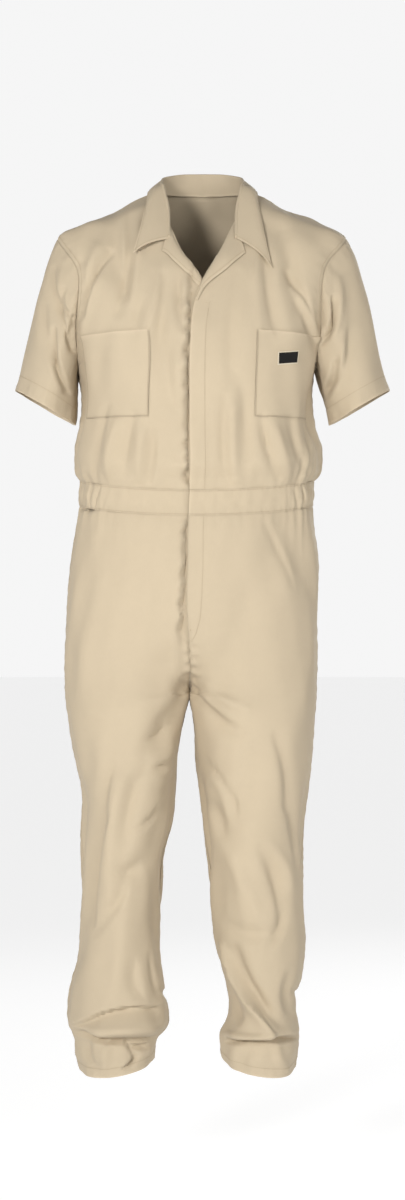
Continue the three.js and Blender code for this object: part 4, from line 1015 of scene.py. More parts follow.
def bearing_of(points):
    """The angle of each point about the trunk's middle, from the front."""
    centre = np.interp(points[..., 2], *TRUNK_CENTRES)
    return np.arctan2(points[..., 0] - centre, -points[..., 1])


def gathers(bearing):
    """The uneven waves that the elastic draws up, and how much there is of them."""
    wave = 0.64 * np.cos(60 * bearing + 1.5 * np.sin(4 * bearing) + np.sin(9 * bearing + 2))
    wave += 0.36 * np.cos(33 * bearing + 2 * np.sin(3 * bearing + 1))
    fine = np.sin(118 * bearing + 3 * np.sin(11 * bearing))
    drawn = ease((np.abs(bearing) - ELASTIC_START + 0.14) / 0.3)
    return wave, fine, drawn


def seam_lift(bearing):
    """Where the waistband's seams lie, in or out from the plain form."""
    wave, fine, drawn = gathers(bearing)
    return (0.25 + 1.3 * drawn) * wave + 0.3 * fine - 0.3


def past_band(panel):
    """How far points lie above the waistband's top edge or below its bottom one."""
    z = panel.points[..., 2]
    top = BAND_SIDE - BAND_DROOP * np.maximum(np.cos(bearing_of(panel.points)), 0) ** 1.5
    return np.maximum(z - top if panel.on == "trunk" else top - BAND_HEIGHT - z, 0)


def gather_height(panel):
    """Gathers above and below the waistband, which die out away from it."""
    if "sleeve" in panel.on:
        return 0
    bearing = bearing_of(panel.points)
    gap = past_band(panel)
    wave, fine, drawn = gathers(bearing)
    long = 1 + 0.5 * np.sin(7 * bearing + 1) + 0.3 * np.sin(17 * bearing)
    made = GATHERS[panel.on]
    waves = (0.5 + made.high * drawn) * wave * np.exp(-gap / (made.fade * long))
    held = np.exp(-((gap / 7) ** 2))
    return held * seam_lift(bearing) + (1 - held) * (waves + made.puff * np.exp(-gap / 26))


def fly_height(panel, is_right):
    """The right side puckers beside the fly's edge, and the crotch seam draws up below it."""
    x, _, z = np.moveaxis(panel.points, -1, 0)
    front = ease(-panel.normals[..., 1] * 2)
    centre = np.interp(z, *TRUNK_CENTRES)
    beside = centre - FLY_OVERLAP - x
    top, end = PUCKER_LEVELS
    run = ease((top - z) / 24) * ease((z - end) / 40) * ease(past_band(panel) / 14)
    waves = np.sin(z / 4.6 + 1.3 * np.sin(z / 17)) + 0.6 * np.sin(z / 7.9 + 1)
    strip = np.exp(-(((beside - 7) / 5) ** 2)) * (beside > -6)
    trough = np.exp(-(((beside - 3) / 6) ** 2))
    height = front * run * (3.1 * waves * strip - 6.2 * trough * (beside > -12)) * is_right
    off = x - centre
    top, end = CROTCH_LEVELS
    seam = np.exp(-((off / 9) ** 2)) * ease((top - z) / 20) * ease((z - end) / 12)
    chain = np.sin(z / 2.7 + 1.4 * np.tanh(off / 4)) * 2.3 * np.tanh(abs(off) / 2) - 1.8
    return height + front * seam * chain


def edge_works(name):
    """A piece's edges, each with how it is made."""
    works = [work for work in EDGE_WORK if name.endswith(work.piece)]
    return [(edge, work) for work in works for edge in work.edges.split()]


def seam_height(name, panel):
    """Seams lie in a fine groove, cloth beside them is drawn up, and turned cloth is thicker."""
    z = panel.points[..., 2]
    height = np.zeros_like(z)
    for edge, work in edge_works(name):
        far = panel.from_edge(edge)
        axis = 1 if edge in ("bottom", "top") else 0
        start = np.take(panel.points, [0], axis=axis)
        steps = np.linalg.norm(np.diff(panel.points, axis=axis, prepend=start), axis=-1)
        along = np.cumsum(steps, axis=axis)
        pucker = np.sin(along / 2.9 + 1.6 * np.sin(along / 23)) + 0.7 * np.sin(along / 5.3 + 2)
        near = far / 7 * np.exp(1 - far / 7)
        there = 1
        if name.endswith("front_leg") and edge == "first":
            there = ease((FLY_SEWN - z) / 12) if work.sewn else ease((z - FLY_SEWN - 30) / 12)
        groove = work.sewn * (0.5 if edge == "bottom" else 0.9) * np.exp(-((far / 1.5) ** 2))
        raised = work.raised * ease((work.wide - far) / 2)
        height += there * (work.draw * pucker * near - groove + raised)
    return height


def by_fly_stitch(z):
    """Whether a level has the fly's topstitching beside it."""
    return (z < FLY_STITCH_TOP) & (z > FLY_STITCH[0][0])


def stitch_offset(name, panel, edge):
    """How far each point is past the line of stitches that runs along an edge."""
    far = panel.from_edge(edge)
    insets = [work.stitch for place, work in edge_works(name) if place == edge and work.stitch]
    if not insets:
        return np.full_like(far, UNSTITCHED)
    if name in FLY_TACKS and edge == "first":
        z = panel.points[..., 2]
        return np.where(by_fly_stitch(z), far - np.interp(z, *FLY_STITCH), UNSTITCHED)
    return far - insets[0]


def sew(panels):
    """Pieces that share a seam get the same normals there, so that they stay together."""
    spots = []
    for panel in panels:
        rows, columns = panel.points.shape[:2]
        rim = np.ones((rows, columns), bool)
        rim[1:-1, 1:-1] = False
        spots += [(panel, i, j) for i, j in zip(*np.nonzero(rim))]
    tree = KDTree(len(spots))
    for k, (panel, i, j) in enumerate(spots):
        tree.insert(Vector(panel.points[i, j]), k)
    tree.balance()
    own = [panel.normals[i, j].copy() for panel, i, j in spots]
    for panel, i, j in spots:
        near = tree.find_range(Vector(panel.points[i, j]), 0.05)
        total = np.sum([own[k] for _, k, _ in near], axis=0)
        panel.normals[i, j] = total / np.linalg.norm(total)


def sink_under_fly(panel, shares):
    """The right side lies under the left one near the centre line."""
    centre = np.interp(panel.points[..., 2], *TRUNK_CENTRES)
    past = panel.points[..., 0] - centre + FLY_OVERLAP
    panel.points[..., 1] += FLY_LIFT * shares[:, None] * ease(1 + past / 9)


def open_pocket_mouth(panel, side):
    """The side pocket's mouth is the front leg's side edge, drawn forward over its facing."""
    top = LEG_ROWS[0].outer
    level = panel.points[:, -1:, 2]
    share = (level - POCKET_MOUTH_END) / (top + POCKET_GAPE.above - POCKET_MOUTH_END)
    gape = np.where(share > 0, np.sin(np.pi * share), 0)
    gape = gape * np.clip(1 - panel.from_edge("last") / POCKET_GAPE.reach, 0, 1)
    panel.points[..., 1] -= POCKET_GAPE.forward * gape
    panel.points[..., 0] += SIGN[side] * POCKET_GAPE.outward * gape
    panel.face()


@cache
def garment():
    """The main panels, shaped and creased together."""
    bodice_cells = len(BODICE_ROWS) + ARMHOLE_CELLS
    first = int(np.searchsorted(edge_places(bodice_cells, FINE_ROWS), len(BODICE_ROWS)))
    panels = {}
    for side in SIGN:
        rows = refine(front_rows(side), FINE_ROWS, 8)
        panels[side + "_front"] = Panel(rows, side == "right")
    panels["back"] = Panel(refine(back_rows(), FINE_ROWS, 6), armholes=("first", "last"))
    for side in SIGN:
        rows = sleeve_rows(side, panels[side + "_front"], panels["back"], first)
        panels[side + "_sleeve"] = Panel(rows, side == "left", side + "_sleeve")
        for face in ("front", "back"):
            rows = refine(leg_rows(side, face), FINE_ROWS, 8)
            panels[f"{side}_{face}_leg"] = Panel(smoothed(rows), side == "left", "legs")
    seam = edge_places(len(LEG_ROWS) - 1, FINE_ROWS)
    seam = (seam >= CROTCH_ROWS[0]) & (seam <= CROTCH_ROWS[1])
    legs = [panels[side + "_front_leg"].points for side in SIGN]
    legs[0][seam, 0] = legs[1][seam, 0] = (legs[0][seam, 0] + legs[1][seam, 0]) / 2
    every = list(panels.values())
    sew(every)
    for panel in every:
        if "sleeve" not in panel.on:
            panel.normals[..., 2] *= ease(past_band(panel) / 16)
            panel.normals /= np.linalg.norm(panel.normals, axis=-1, keepdims=True)
    heights = []
    for name, panel in panels.items():
        height = crease_height(panel) * off_armhole(panel)
        height += drift_height(panel) + gather_height(panel)
        height += fly_height(panel, name.startswith("right"))
        heights.append(height + seam_height(name, panel))
    for panel, height in zip(every, heights):
        panel.points += panel.normals * height[..., None]
        panel.face()
    sew(every)
    front = panels["right_front"]
    sink_under_fly(front, np.ones(len(front.points)))
    leg = panels["right_front_leg"]
    sink_under_fly(leg, np.clip(7 - edge_places(len(LEG_ROWS) - 1, FINE_ROWS), 0, 1))
    for side in SIGN:
        open_pocket_mouth(panels[side + "_front_leg"], side)
    return panels


def band_panel(start, end, cells):
    """A stretch of the waistband, which the elastic gathers round the sides and the back."""
    rows = []
    for v in np.sort(np.concatenate([np.linspace(0, 1, 15), (0.02, 0.98)])):
        angles = mix(start, end, np.linspace(0, 1, cells + 1))
        spots = np.array([on_trunk(a, mix(band_bottom(a), band_top(a), v)) for a in angles])
        outward = spots * (1, 1, 0)
        outward /= np.linalg.norm(outward, axis=1, keepdims=True)
        bearing = bearing_of(spots)
        _, fine, drawn = gathers(bearing)
        free = math.sin(math.pi * v) ** 0.8
        phase = 29 * bearing + 1.5 * np.sin(5 * bearing)
        phase += (v - 0.5) * (1.5 * np.sign(bearing) + np.sin(13 * bearing))
        pleat = np.abs(np.sin(phase)) ** 0.6 * (1 + 0.35 * np.sin(11 * bearing + 1))
        slant = np.sin(31 * bearing + 4 * v) + np.sin(47 * bearing - 3 * v)
        belly = 0.5 + drawn * (5.2 * pleat - 2 + 0.5 * fine) + 0.3 * slant
        out = (1 - free) * (seam_lift(bearing) - 0.15) + free * belly
        rows.append(spots + outward * out[:, None])
    return Panel(np.array(rows))


def pocket_facing(side):
    """The cloth behind a side pocket's mouth, a little way in from the leg."""
    sign = SIGN[side]
    inward = np.array((-sign, 0.35, 0)) / math.hypot(1, 0.35)
    rows = []
    for u in np.linspace(0, 1, 7):
        angle = math.radians(mix(64, 90, u))
        column = []
        for v in np.linspace(0, 1, 31):
            z = mix(band_bottom(angle) - 2, POCKET_MOUTH_END + 4, v)
            column.append(on_trunk(sign * angle, z) + inward * 2.9)
        rows.append(column)
    return Panel(np.array(rows).swapaxes(0, 1), side == "left")


def above(point, clearance):
    """Lifts a point until it stands clear of the trunk below it."""

    def inside(ring):
        across = abs(point[0] - ring.centre) / ring.half
        deep = abs(point[1]) / (ring.front if point[1] < 0 else ring.back)
        return across**ring.square + deep**ring.square < 1

    level = highest(inside, ARMPIT, TRUNK[0].z)
    return np.array((point[0], point[1], max(point[2], level + clearance)))


@cache
def collar_panel():
    """The collar stands up from the neckline, folds over and falls to its free edge."""
    stand = list(np.linspace(0, STAND_END, 8))
    fold = list(np.linspace(STAND_END, FOLD_END, 9))[1:-1]
    fall = list(np.linspace(FOLD_END, 1, 22))
    rows = []
    for share in stand + fold + fall:
        spots = []
        for u in np.linspace(0, 1, 121):
            half = 2 * u - 1
            place = collar_at(abs(half))
            sign = -1 if half < 0 else 1
            over_lapel = 7 * float(ease((abs(half) - 0.5) / 0.2))
            base = above(np.array((sign * place.bx, place.by, place.bz)), 0.8 + over_lapel)
            base[2] -= 4.5 * float(ease((0.6 - abs(half)) / 0.2))
            top = above(np.array((sign * place.fx, place.fy, place.fz)), 3 + over_lapel)
            drop = place.left_drop if sign > 0 else 0
            edge = np.array((sign * place.ex, place.ey, place.ez - drop))
            out = (edge - base) * (1, 1, 0)
            out *= FOLD_RADIUS / np.linalg.norm(out)
            if share <= STAND_END:
                spots.append(mix(base, top - out, share / STAND_END))
            elif share < FOLD_END:
                turn = math.pi * (share - STAND_END) / (FOLD_END - STAND_END)
                rise = FOLD_RADIUS * math.sin(turn)
                spots.append(top - out * math.cos(turn) + (0, 0, rise))
            else:
                t = (share - FOLD_END) / (1 - FOLD_END)
                belly = 5 * math.sin(math.pi * t)
                spot = mix(top + out, edge, t) + out * belly / FOLD_RADIUS
                spot[2] += 0.6 * belly
                spots.append(above(spot, 5))
        rows.append(spots)
    return Panel(np.array(rows))


def spot_of(point):
    """A point's bearing and level."""
    return np.array((math.atan2(point[0] - trunk_at(point[2]).centre, -point[1]), point[2]))


def faces_of(panel):
    """A tree of a panel's faces, for finding places on it."""
    rows, columns = panel.points.shape[:2]
    index = np.arange(rows * columns).reshape(rows, columns)
    corners = [index[:-1, :-1], index[:-1, 1:], index[1:, 1:], index[1:, :-1]]
    quads = np.stack(corners, -1).reshape(-1, 4)
    return BVHTree.FromPolygons(panel.points.reshape(-1, 3).tolist(), quads.tolist())


def lay_on(tree, spots, heights, turned):
    """A panel that lies on another one, found from the trunk's middle by bearing and level."""
    points = np.zeros((*spots.shape[:2], 3))
    for i, row in enumerate(spots):
        for j, (bearing, z) in enumerate(row):
            away = Vector((math.sin(bearing), -math.cos(bearing), 0))
            middle = Vector((trunk_at(z).centre, 0, z))
            hit, normal, _, _ = tree.ray_cast(middle, away)
            if hit is None:
                hit, normal, _, _ = tree.find_nearest(middle + away * 140)
            if normal.dot(away) < 0:
                normal = -normal
            points[i, j] = hit + normal * float(heights[i, j])
    return Panel(points, turned)


def patch(side, tree, place, heights):
    """A patch has its inner edge at a distance from the middle plane and runs round the side."""
    sign = SIGN[side]
    rows, columns = heights.shape
    spots = np.zeros((rows, columns, 2))
    for i, v in enumerate(np.linspace(0, 1, rows)):
        for j, u in enumerate(np.linspace(0, 1, columns)):
            z = mix(mix(place.bottom, place.outer_bottom, u), mix(place.top, place.outer_top, u), v)
            inner = angle_where(lambda a: sign * on_trunk(sign * a, z)[0], place.inner, 0, 1.4)
            start = spot_of(on_trunk(sign * inner, z))
            wide = place.wide + place.flare * (1 - v)
            spots[i, j] = start[0] + sign * u * wide / place.radius, z
    return lay_on(tree, spots, heights, side == "right")


def lapel_panel(side, tree):
    """A front's top corner, turned back from its fold and lying on the front."""
    sign = SIGN[side]
    edges = through(LAPELS[side], "t")
    rows, columns = 40, 24
    spots = np.zeros((rows + 1, columns + 1, 2))
    heights = np.zeros((rows + 1, columns + 1))
    for i, v in enumerate(np.linspace(0, 1, rows + 1)):
        line = edges(v)
        for j, u in enumerate(np.linspace(0, 1, columns + 1)):
            x, z = mix(line.rx, line.ex, u), mix(line.rz, line.ez, u)
            angle = angle_where(lambda a: sign * on_trunk(sign * a, z)[0], x, -0.7, 1.4)
            spots[i, j] = spot_of(on_trunk(sign * angle, z))
            fold = math.sqrt(1 - (1 - min(u / 0.12, 1)) ** 2)
            lift = (1 + 3.2 * math.sin(math.pi * v)) * math.sin(math.pi * 0.9 * u**0.75)
            heights[i, j] = 2.6 * fold + lift - 0.6
    return lay_on(tree, spots, heights, side == "right")


class Wire:
    """A socket whose arithmetic adds Math nodes."""

    def __init__(self, finish, socket):
        self.finish = finish
        self.socket = socket

    def maths(self, operation, a, b):
        made = self.finish.add("ShaderNodeMath", {"operation": operation}, {0: a, 1: b})
        return made.out(0)

    def __add__(self, other):
        return self.maths("ADD", self, other)

    __radd__ = __add__

    def __sub__(self, other):
        return self.maths("SUBTRACT", self, other)

    def __rsub__(self, other):
        return self.maths("SUBTRACT", other, self)

    def __mul__(self, other):
        return self.maths("MULTIPLY", self, other)

    __rmul__ = __mul__

    def sine(self):
        return self.maths("SINE", self, 0)

    def exponent(self):
        return self.maths("EXPONENT", self, 0)


class Made:
    """A node that was added, whose outputs are taken as wires."""

    def __init__(self, finish, node):
        self.finish = finish
        self.node = node

    def out(self, name):
        return Wire(self.finish, self.node.outputs[name])


class Finish:
    """The nodes of a material or of the world."""

    def __init__(self, owner):
        self.owner = owner
        owner.use_nodes = True
        self.tree = owner.node_tree
        self.tree.nodes.clear()

    def add(self, kind, settings=None, inputs=None):
        node = self.tree.nodes.new(kind)
        for name, value in (settings or {}).items():
            if name == "stops":
                for element, (place, tint) in zip(node.color_ramp.elements, value):
                    element.position = place
                    element.color = tint
            else:
                setattr(node, name, value)
        for name, value in (inputs or {}).items():
            if isinstance(value, Wire):
                self.tree.links.new(value.socket, node.inputs[name])
            else:
                node.inputs[name].default_value = value
        return Made(self, node)

    def blend(self, share, first, second):
        """One colour going over into another."""
        inputs = {0: share, 6: first, 7: second}
        return self.add("ShaderNodeMix", {"data_type": "RGBA"}, inputs).out(2)

    def close(self, inputs):
        """Ends a material in its one shader."""
        shader = self.add("ShaderNodeBsdfPrincipled", None, inputs)
        self.add("ShaderNodeOutputMaterial", None, {"Surface": shader.out("BSDF")})
        return self.owner


def shade(colour, factor):
    """A colour made darker or lighter."""
    return tuple(min(c * factor, 1) for c in colour[:3]) + (1,)


@cache
def twill(name, colour, rim, rim_start, rim_gain, twill_pitch):
    """Poly-cotton twill: a fine diagonal rib, soft slubs, edges that have worn lighter, and painted
    shade beside its seams and along its stitch lines.
    """
    finish = Finish(bpy.data.materials.new(name))
    place = finish.add("ShaderNodeUVMap", {"uv_map": "UVMap"}).out("UV")
    split = finish.add("ShaderNodeSeparateXYZ", None, {0: place})
    warp, weft = split.out("X"), split.out("Y")
    rib = ((warp + weft * 0.6) * (2 * math.pi / twill_pitch)).sine()
    around = finish.add("ShaderNodeTexCoord").out("Object")
    cloud = finish.add("ShaderNodeTexNoise", None, {"Vector": around, "Scale": 5, "Detail": 3})
    slub_place = finish.add("ShaderNodeCombineXYZ", None, {0: warp * 900, 1: weft * 130})
    slub = finish.add(
        "ShaderNodeTexNoise", None, {"Vector": slub_place.out(0), "Scale": 1, "Detail": 2}
    )
    grain = finish.add("ShaderNodeTexNoise", None, {"Vector": around, "Scale": 60, "Detail": 4})
    worn = finish.add("ShaderNodeAttribute", {"attribute_name": "worn"}).out("Fac")
    seam = finish.add("ShaderNodeAttribute", {"attribute_name": "seam"}).out("Fac")
    line = 0
    for edge in EDGE_NAMES:
        off = finish.add("ShaderNodeAttribute", {"attribute_name": "stitch_" + edge}).out("Fac")
        line = (off * off * -3).exponent() + line
    tone = cloud.out(0) * 0.55 + slub.out(0) * 0.25 + grain.out(0) * 0.2
    base = finish.blend(tone, shade(colour, 0.9), shade(colour, 1.1))
    base = finish.blend(rib * 0.03 + 0.03, base, shade(colour, 0.72))
    base = finish.blend((worn - rim_start) * rim_gain, base, rim)
    # Painted shade: the cloth goes darker beside its seams and round the chest pockets' sewn edges,
    # where shade falls in the seam's groove and under the pocket's edge.
    base = finish.blend(seam * 0.42, base, shade(colour, 0.45))
    # Painted shade: the cloth goes darker along each stitch line, where the stitches pull a groove.
    base = finish.blend(line * 0.2, base, shade(colour, 0.55))
    height = rib * 0.4 + slub.out(0) * 0.8 + grain.out(0) * 0.8 - line * 1.6
    bump = finish.add(
        "ShaderNodeBump", None, {"Strength": 0.4, "Distance": 0.0004, "Height": height}
    )
    rough = grain.out(0) * 0.16 + 0.7 - worn * 0.08
    return finish.close(
        {
            "Base Color": base,
            "Roughness": rough,
            "Normal": bump.out(0),
            "Sheen Weight": 0.06,
            "Sheen Roughness": 0.5,
            "Specular IOR Level": 0.2,
        }
    )


@cache
def sewing_thread(colour):
    """Spun thread, a little darker and lighter from stitch to stitch."""
    finish = Finish(bpy.data.materials.new("sewing thread"))
    around = finish.add("ShaderNodeTexCoord").out("Object")
    grain = finish.add("ShaderNodeTexNoise", None, {"Vector": around, "Scale": 900}).out(0)
    base = finish.blend(grain, shade(colour, 0.8), shade(colour, 1.2))
    return finish.close({"Base Color": base, "Roughness": 0.6})


def sizes():
    return bpy.context.scene.boiler_suit_sizes


def colours():
    return bpy.context.scene.boiler_suit_colours


def khaki():
    cloth = tuple(colours().cloth)
    return twill("khaki twill", cloth, shade(cloth, 1.3), 0, 0.5, sizes().twill_pitch)


def label_weave():
    """A close dark weave whose very edge is pale."""
    return twill("label weave", tuple(colours().label), LABEL_EDGE, 0.5, 8, LABEL_TWILL_PITCH)


def drawn_back(points, back):
    """Each edge draws back from its seam, which leaves the seam's gap."""
    points = points.copy()
    for _ in range(2):
        for here, inner in ((0, 1), (-1, -2)):
            step = points[inner] - points[here]
            far = np.linalg.norm(step, axis=-1, keepdims=True)
            points[here] += step / np.maximum(far, 1e-6) * np.minimum(back, 0.4 * far)
        points = points.swapaxes(0, 1)
    return points


def lay_out(mesh, panel, trim):
    """Takes a plain grid's corners to a panel's points. It returns each corner's row and column."""
    rows, columns = panel.points.shape[:2]
    flat = np.zeros(len(mesh.vertices) * 3)
    mesh.vertices.foreach_get("co", flat)
    flat = flat.reshape(-1, 3)
    column = np.rint((flat[:, 0] + 0.5) * (columns - 1)).astype(int)
    row = np.rint((flat[:, 1] + 0.5) * (rows - 1)).astype(int)
    if panel.turned:
        column = columns - 1 - column
    spots = drawn_back(panel.points, trim)[row, column] * MM
    mesh.vertices.foreach_set("co", spots.ravel())
    across, along = panel.from_edge("first"), panel.from_edge("bottom")
    across = across - across[:, -1:] / 2
    corner = np.zeros(len(mesh.loops), int)
    mesh.loops.foreach_get("vertex_index", corner)
    place = np.stack([across[row, column], along[row, column]], -1) * MM
    mesh.uv_layers[0].name = "UVMap"
    mesh.uv_layers[0].data.foreach_set("uv", place[corner].ravel())
    return row, column


def mark_edges(mesh, node, panel, row, column):
    """Keeps with the cloth where it is worn, where shade is painted beside a seam and where stitches
    run.
    """
    sewn = {edge: min(work.sewn, 1) for edge, work in edge_works(node) if work.sewn}
    plain = np.zeros(panel.points.shape[:2])
    marks = {"worn": plain, "seam": plain}
    for edge in EDGE_NAMES:
        # Sewn edges get painted shade beside the seam, and free edges are marked where they are worn.
        kind, fade = ("seam", SEAM_SHADE_FADE) if edge in sewn else ("worn", WORN_FADE)
        near = sewn.get(edge, 1) * np.exp(-panel.from_edge(edge) / fade)
        marks[kind] = np.maximum(marks[kind], near)
        marks["stitch_" + edge] = stitch_offset(node, panel, edge)
    for mark, values in marks.items():
        made = mesh.attributes.new(mark, "FLOAT", "POINT")
        made.data.foreach_set("value", values[row, column].astype(np.float32).ravel())


def cloth_piece(node, panel, held, on=None, fine=False, slot="khaki_twill"):
    """A flat grid of cloth, laid into its shape and given its thickness."""
    rows, columns = panel.points.shape[:2]
    bpy.ops.mesh.primitive_grid_add(
        x_subdivisions=columns - 1, y_subdivisions=rows - 1, size=1, calc_uvs=True
    )
    piece = bpy.context.object
    piece.name = piece.data.name = node + "_cloth"
    places = lay_out(piece.data, panel, 0 if on else SEAM_TRIM)
    mark_edges(piece.data, node, panel, *places)
    piece.data.update()
    wall = piece.modifiers.new("wall", "SOLIDIFY")
    wall.thickness = sizes().fine_cloth if fine else sizes().cloth
    wall.offset = -1
    bpy.ops.object.modifier_apply(modifier=wall.name)
    bpy.ops.object.shade_smooth_by_angle(angle=SMOOTH_ANGLE)
    piece.data.materials.append(khaki() if slot == "khaki_twill" else label_weave())
    rests_on = [on + "_cloth"] if on else []
    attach(piece, "root")
    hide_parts(node)
    piece.select_set(False)


def stitch_run(points, normals):
    """Where single stitches lie along a line: the middle, the direction and the outward normal."""
    steps = np.linalg.norm(np.diff(points, axis=0), axis=1)
    along = np.concatenate([[0], np.cumsum(steps)])
    if along[-1] < 2 * STITCH_PITCH:
        return []
    places = np.arange(STITCH_PITCH, along[-1] - STITCH_PITCH / 2, STITCH_PITCH)

    def at(values, where):
        return np.stack([np.interp(where, along, values[:, k]) for k in range(3)], -1)

    ahead = at(points, places + 1) - at(points, places - 1)
    ahead /= np.linalg.norm(ahead, axis=1, keepdims=True)
    out = at(normals, places)
    out -= ahead * np.sum(out * ahead, axis=1, keepdims=True)
    out /= np.linalg.norm(out, axis=1, keepdims=True)
    return list(zip(at(points, places), ahead, out))


def fly_stitches(panel, tack):
    """The row beside the fly's edge, and the short rows across it that hold its end."""
    z = panel.points[:, 0, 2]
    there = by_fly_stitch(z)
    points, normals = panel.inset("first", np.interp(z, *FLY_STITCH))
    found = stitch_run(points[there], normals[there])
    i = int(np.argmin(abs(z - tack.level)))
    across = [panel.inset("first", far) for far in np.linspace(tack.near, tack.far, 7)]
    line = np.array([points[i] for points, _ in across])
    facing = np.array([normals[i] for _, normals in across])
    for lift in tack.lifts:
        found += stitch_run(line + (0, 0, lift), facing)
    return found


def stitches_of(name, panel):
    """Every stitch on a piece, along the edges that its work names."""
    found = []
    for edge, work in edge_works(name):
        if work.stitch and name in FLY_TACKS and edge == "first":
            found += fly_stitches(panel, FLY_TACKS[name])
        elif work.stitch:
            found += stitch_run(*panel.inset(edge, work.stitch))
    return found


def stitching(name, panels):
    """One stitch is modelled, and copied along all the lines of some pieces."""
    bpy.ops.mesh.primitive_uv_sphere_add(segments=6, ring_count=4, radius=1, location=(0, 0, 0))
    thread = bpy.context.object
    thread.name = thread.data.name = name
    mesh = thread.data
    ball = np.zeros(len(mesh.vertices) * 3)
    mesh.vertices.foreach_get("co", ball)
    ball = ball.reshape(-1, 3) * STITCH_SIZE
    faces = [tuple(face.vertices) for face in mesh.polygons]
    runs = [stitch for piece, panel in panels for stitch in stitches_of(piece, panel)]
    points, copies = [], []
    for k, (spot, ahead, out) in enumerate(runs):
        turn = np.stack([ahead, np.cross(out, ahead), out])
        points.append((spot + out * STITCH_LIFT + ball @ turn) * MM)
        copies += [tuple(v + k * len(ball) for v in face) for face in faces]
    mesh.clear_geometry()
    mesh.from_pydata(np.concatenate(points).tolist(), [], copies)
    mesh.update()
    mesh.shade_smooth()
    mesh.materials.append(sewing_thread(tuple(colours().thread)))
    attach(thread, "root")
    thread.select_set(False)


def studio_floor():
    """A pale floor with a glow of its own."""
    return Finish(bpy.data.materials.new("studio floor")).close(
        {
            "Base Color": tuple(colours().floor),
            "Roughness": 0.9,
            "Emission Color": (1, 1, 1, 1),
            "Emission Strength": FLOOR_GLOW,
        }
    )


def studio_sky():
    """Light that is strongest at the horizon and falls off above it."""
    sky = Finish(bpy.data.worlds.new("studio sky"))
    way = sky.add("ShaderNodeTexCoord").out("Generated")
    height = sky.add("ShaderNodeSeparateXYZ", None, {0: way}).out("Z")
    stops = [(place, (glow, glow, glow, 1)) for place, glow in SKY]
    colour = sky.add("ShaderNodeValToRGB", {"stops": stops}, {0: height}).out("Color")
    light = sky.add("ShaderNodeBackground", None, {"Color": colour, "Strength": 1}).out(0)
    sky.add("ShaderNodeOutputWorld", None, {"Surface": light})
    return sky.owner


class BoilerSuitSizes(bpy.types.PropertyGroup):
    cloth: bpy.props.FloatProperty(
        name="Cloth", description="Thickness of the main panels", default=0.0011, unit="LENGTH"
    )
    fine_cloth: bpy.props.FloatProperty(
        name="Fine cloth", description="Thickness of collar, lapels and pockets", default=0.001,
        unit="LENGTH",
    )
    twill_pitch: bpy.props.FloatProperty(
        name="Twill pitch", description="Width of one rib of the twill", default=0.0009,
        unit="LENGTH",
    )


class BoilerSuitColours(bpy.types.PropertyGroup):
    cloth: bpy.props.FloatVectorProperty(
        name="Cloth", description="Khaki of the cloth", subtype="COLOR", size=4,
        default=(0.45, 0.37, 0.26, 1), min=0, max=1,
    )
    thread: bpy.props.FloatVectorProperty(
        name="Thread", description="Colour of the stitching", subtype="COLOR", size=4,
        default=(0.36, 0.28, 0.18, 1), min=0, max=1,
    )
    label: bpy.props.FloatVectorProperty(
        name="Label", description="Colour of the plain label", subtype="COLOR", size=4,
        default=(0.004, 0.0035, 0.0035, 1), min=0, max=1,
    )
    floor: bpy.props.FloatVectorProperty(
        name="Floor", description="Colour of the studio floor", subtype="COLOR", size=4,
        default=(0.3, 0.3, 0.3, 1), min=0, max=1,
    )


class BOILERSUIT_OT_bodice(bpy.types.Operator):
    """Makes the two fronts and the back"""

    bl_idname = "boilersuit.bodice"
    bl_label = "Bodice"

    def execute(self, context):
        panels = [(name, garment()[name]) for name in ("left_front", "right_front", "back")]
        for name, panel in panels:
            cloth_piece(name, panel, "hung")
        stitching("bodice_stitching", panels)
        return {"FINISHED"}


class BOILERSUIT_OT_sleeves(bpy.types.Operator):
    """Makes the two short sleeves"""

    bl_idname = "boilersuit.sleeves"
    bl_label = "Sleeves"

    def execute(self, context):
        for side in SIGN:
            name = side + "_sleeve"
            cloth_piece(name, garment()[name], "hung")
            stitching(name + "_stitching", [(name, garment()[name])])
        return {"FINISHED"}


class BOILERSUIT_OT_legs(bpy.types.Operator):
    """Makes the front and the back of each leg and the facings in the side pockets"""

    bl_idname = "boilersuit.legs"
    bl_label = "Legs"

    def execute(self, context):
        for side in SIGN:
            for face in ("front", "back"):
                name = f"{side}_{face}_leg"
                cloth_piece(name, garment()[name], "hung")
                stitching(name + "_stitching", [(name, garment()[name])])
            cloth_piece(side + "_pocket_facing", pocket_facing(side), "hung", fine=True)
        return {"FINISHED"}


class BOILERSUIT_OT_waistband(bpy.types.Operator):
    """Makes the two flat front bands and the band gathered on elastic"""

    bl_idname = "boilersuit.waistband"
    bl_label = "Waistband"

    def execute(self, context):
        left = band_panel(edge_angle("left", BAND_SIDE, FLY_OVERLAP), ELASTIC_START, 90)
        right = band_panel(-ELASTIC_START, edge_angle("right", BAND_SIDE, FLY_UNDERLAP), 90)
        sink_under_fly(right, np.ones(len(right.points)))
        elastic = band_panel(ELASTIC_START, 2 * math.pi - ELASTIC_START, 380)
        for name, panel, held in (
            ("left_waistband", left, "stretched"),
            ("right_waistband", right, "stretched"),
            ("elastic_waistband", elastic, "gathered"),
        ):
            cloth_piece(name, panel, held)
            stitching(name + "_stitching", [(name, panel)])
        return {"FINISHED"}


class BOILERSUIT_OT_collar(bpy.types.Operator):
    """Makes the notched collar and the two lapels"""

    bl_idname = "boilersuit.collar"
    bl_label = "Collar and lapels"

    def execute(self, context):
        stitched = [("collar", collar_panel())]
        cloth_piece(*stitched[0], "folded", fine=True)
        for side in SIGN:
            front = side + "_front"
            stitched.append((side + "_lapel", lapel_panel(side, faces_of(garment()[front]))))
            cloth_piece(*stitched[-1], "folded", front, fine=True)
        stitching("collar_stitching", stitched)
        return {"FINISHED"}


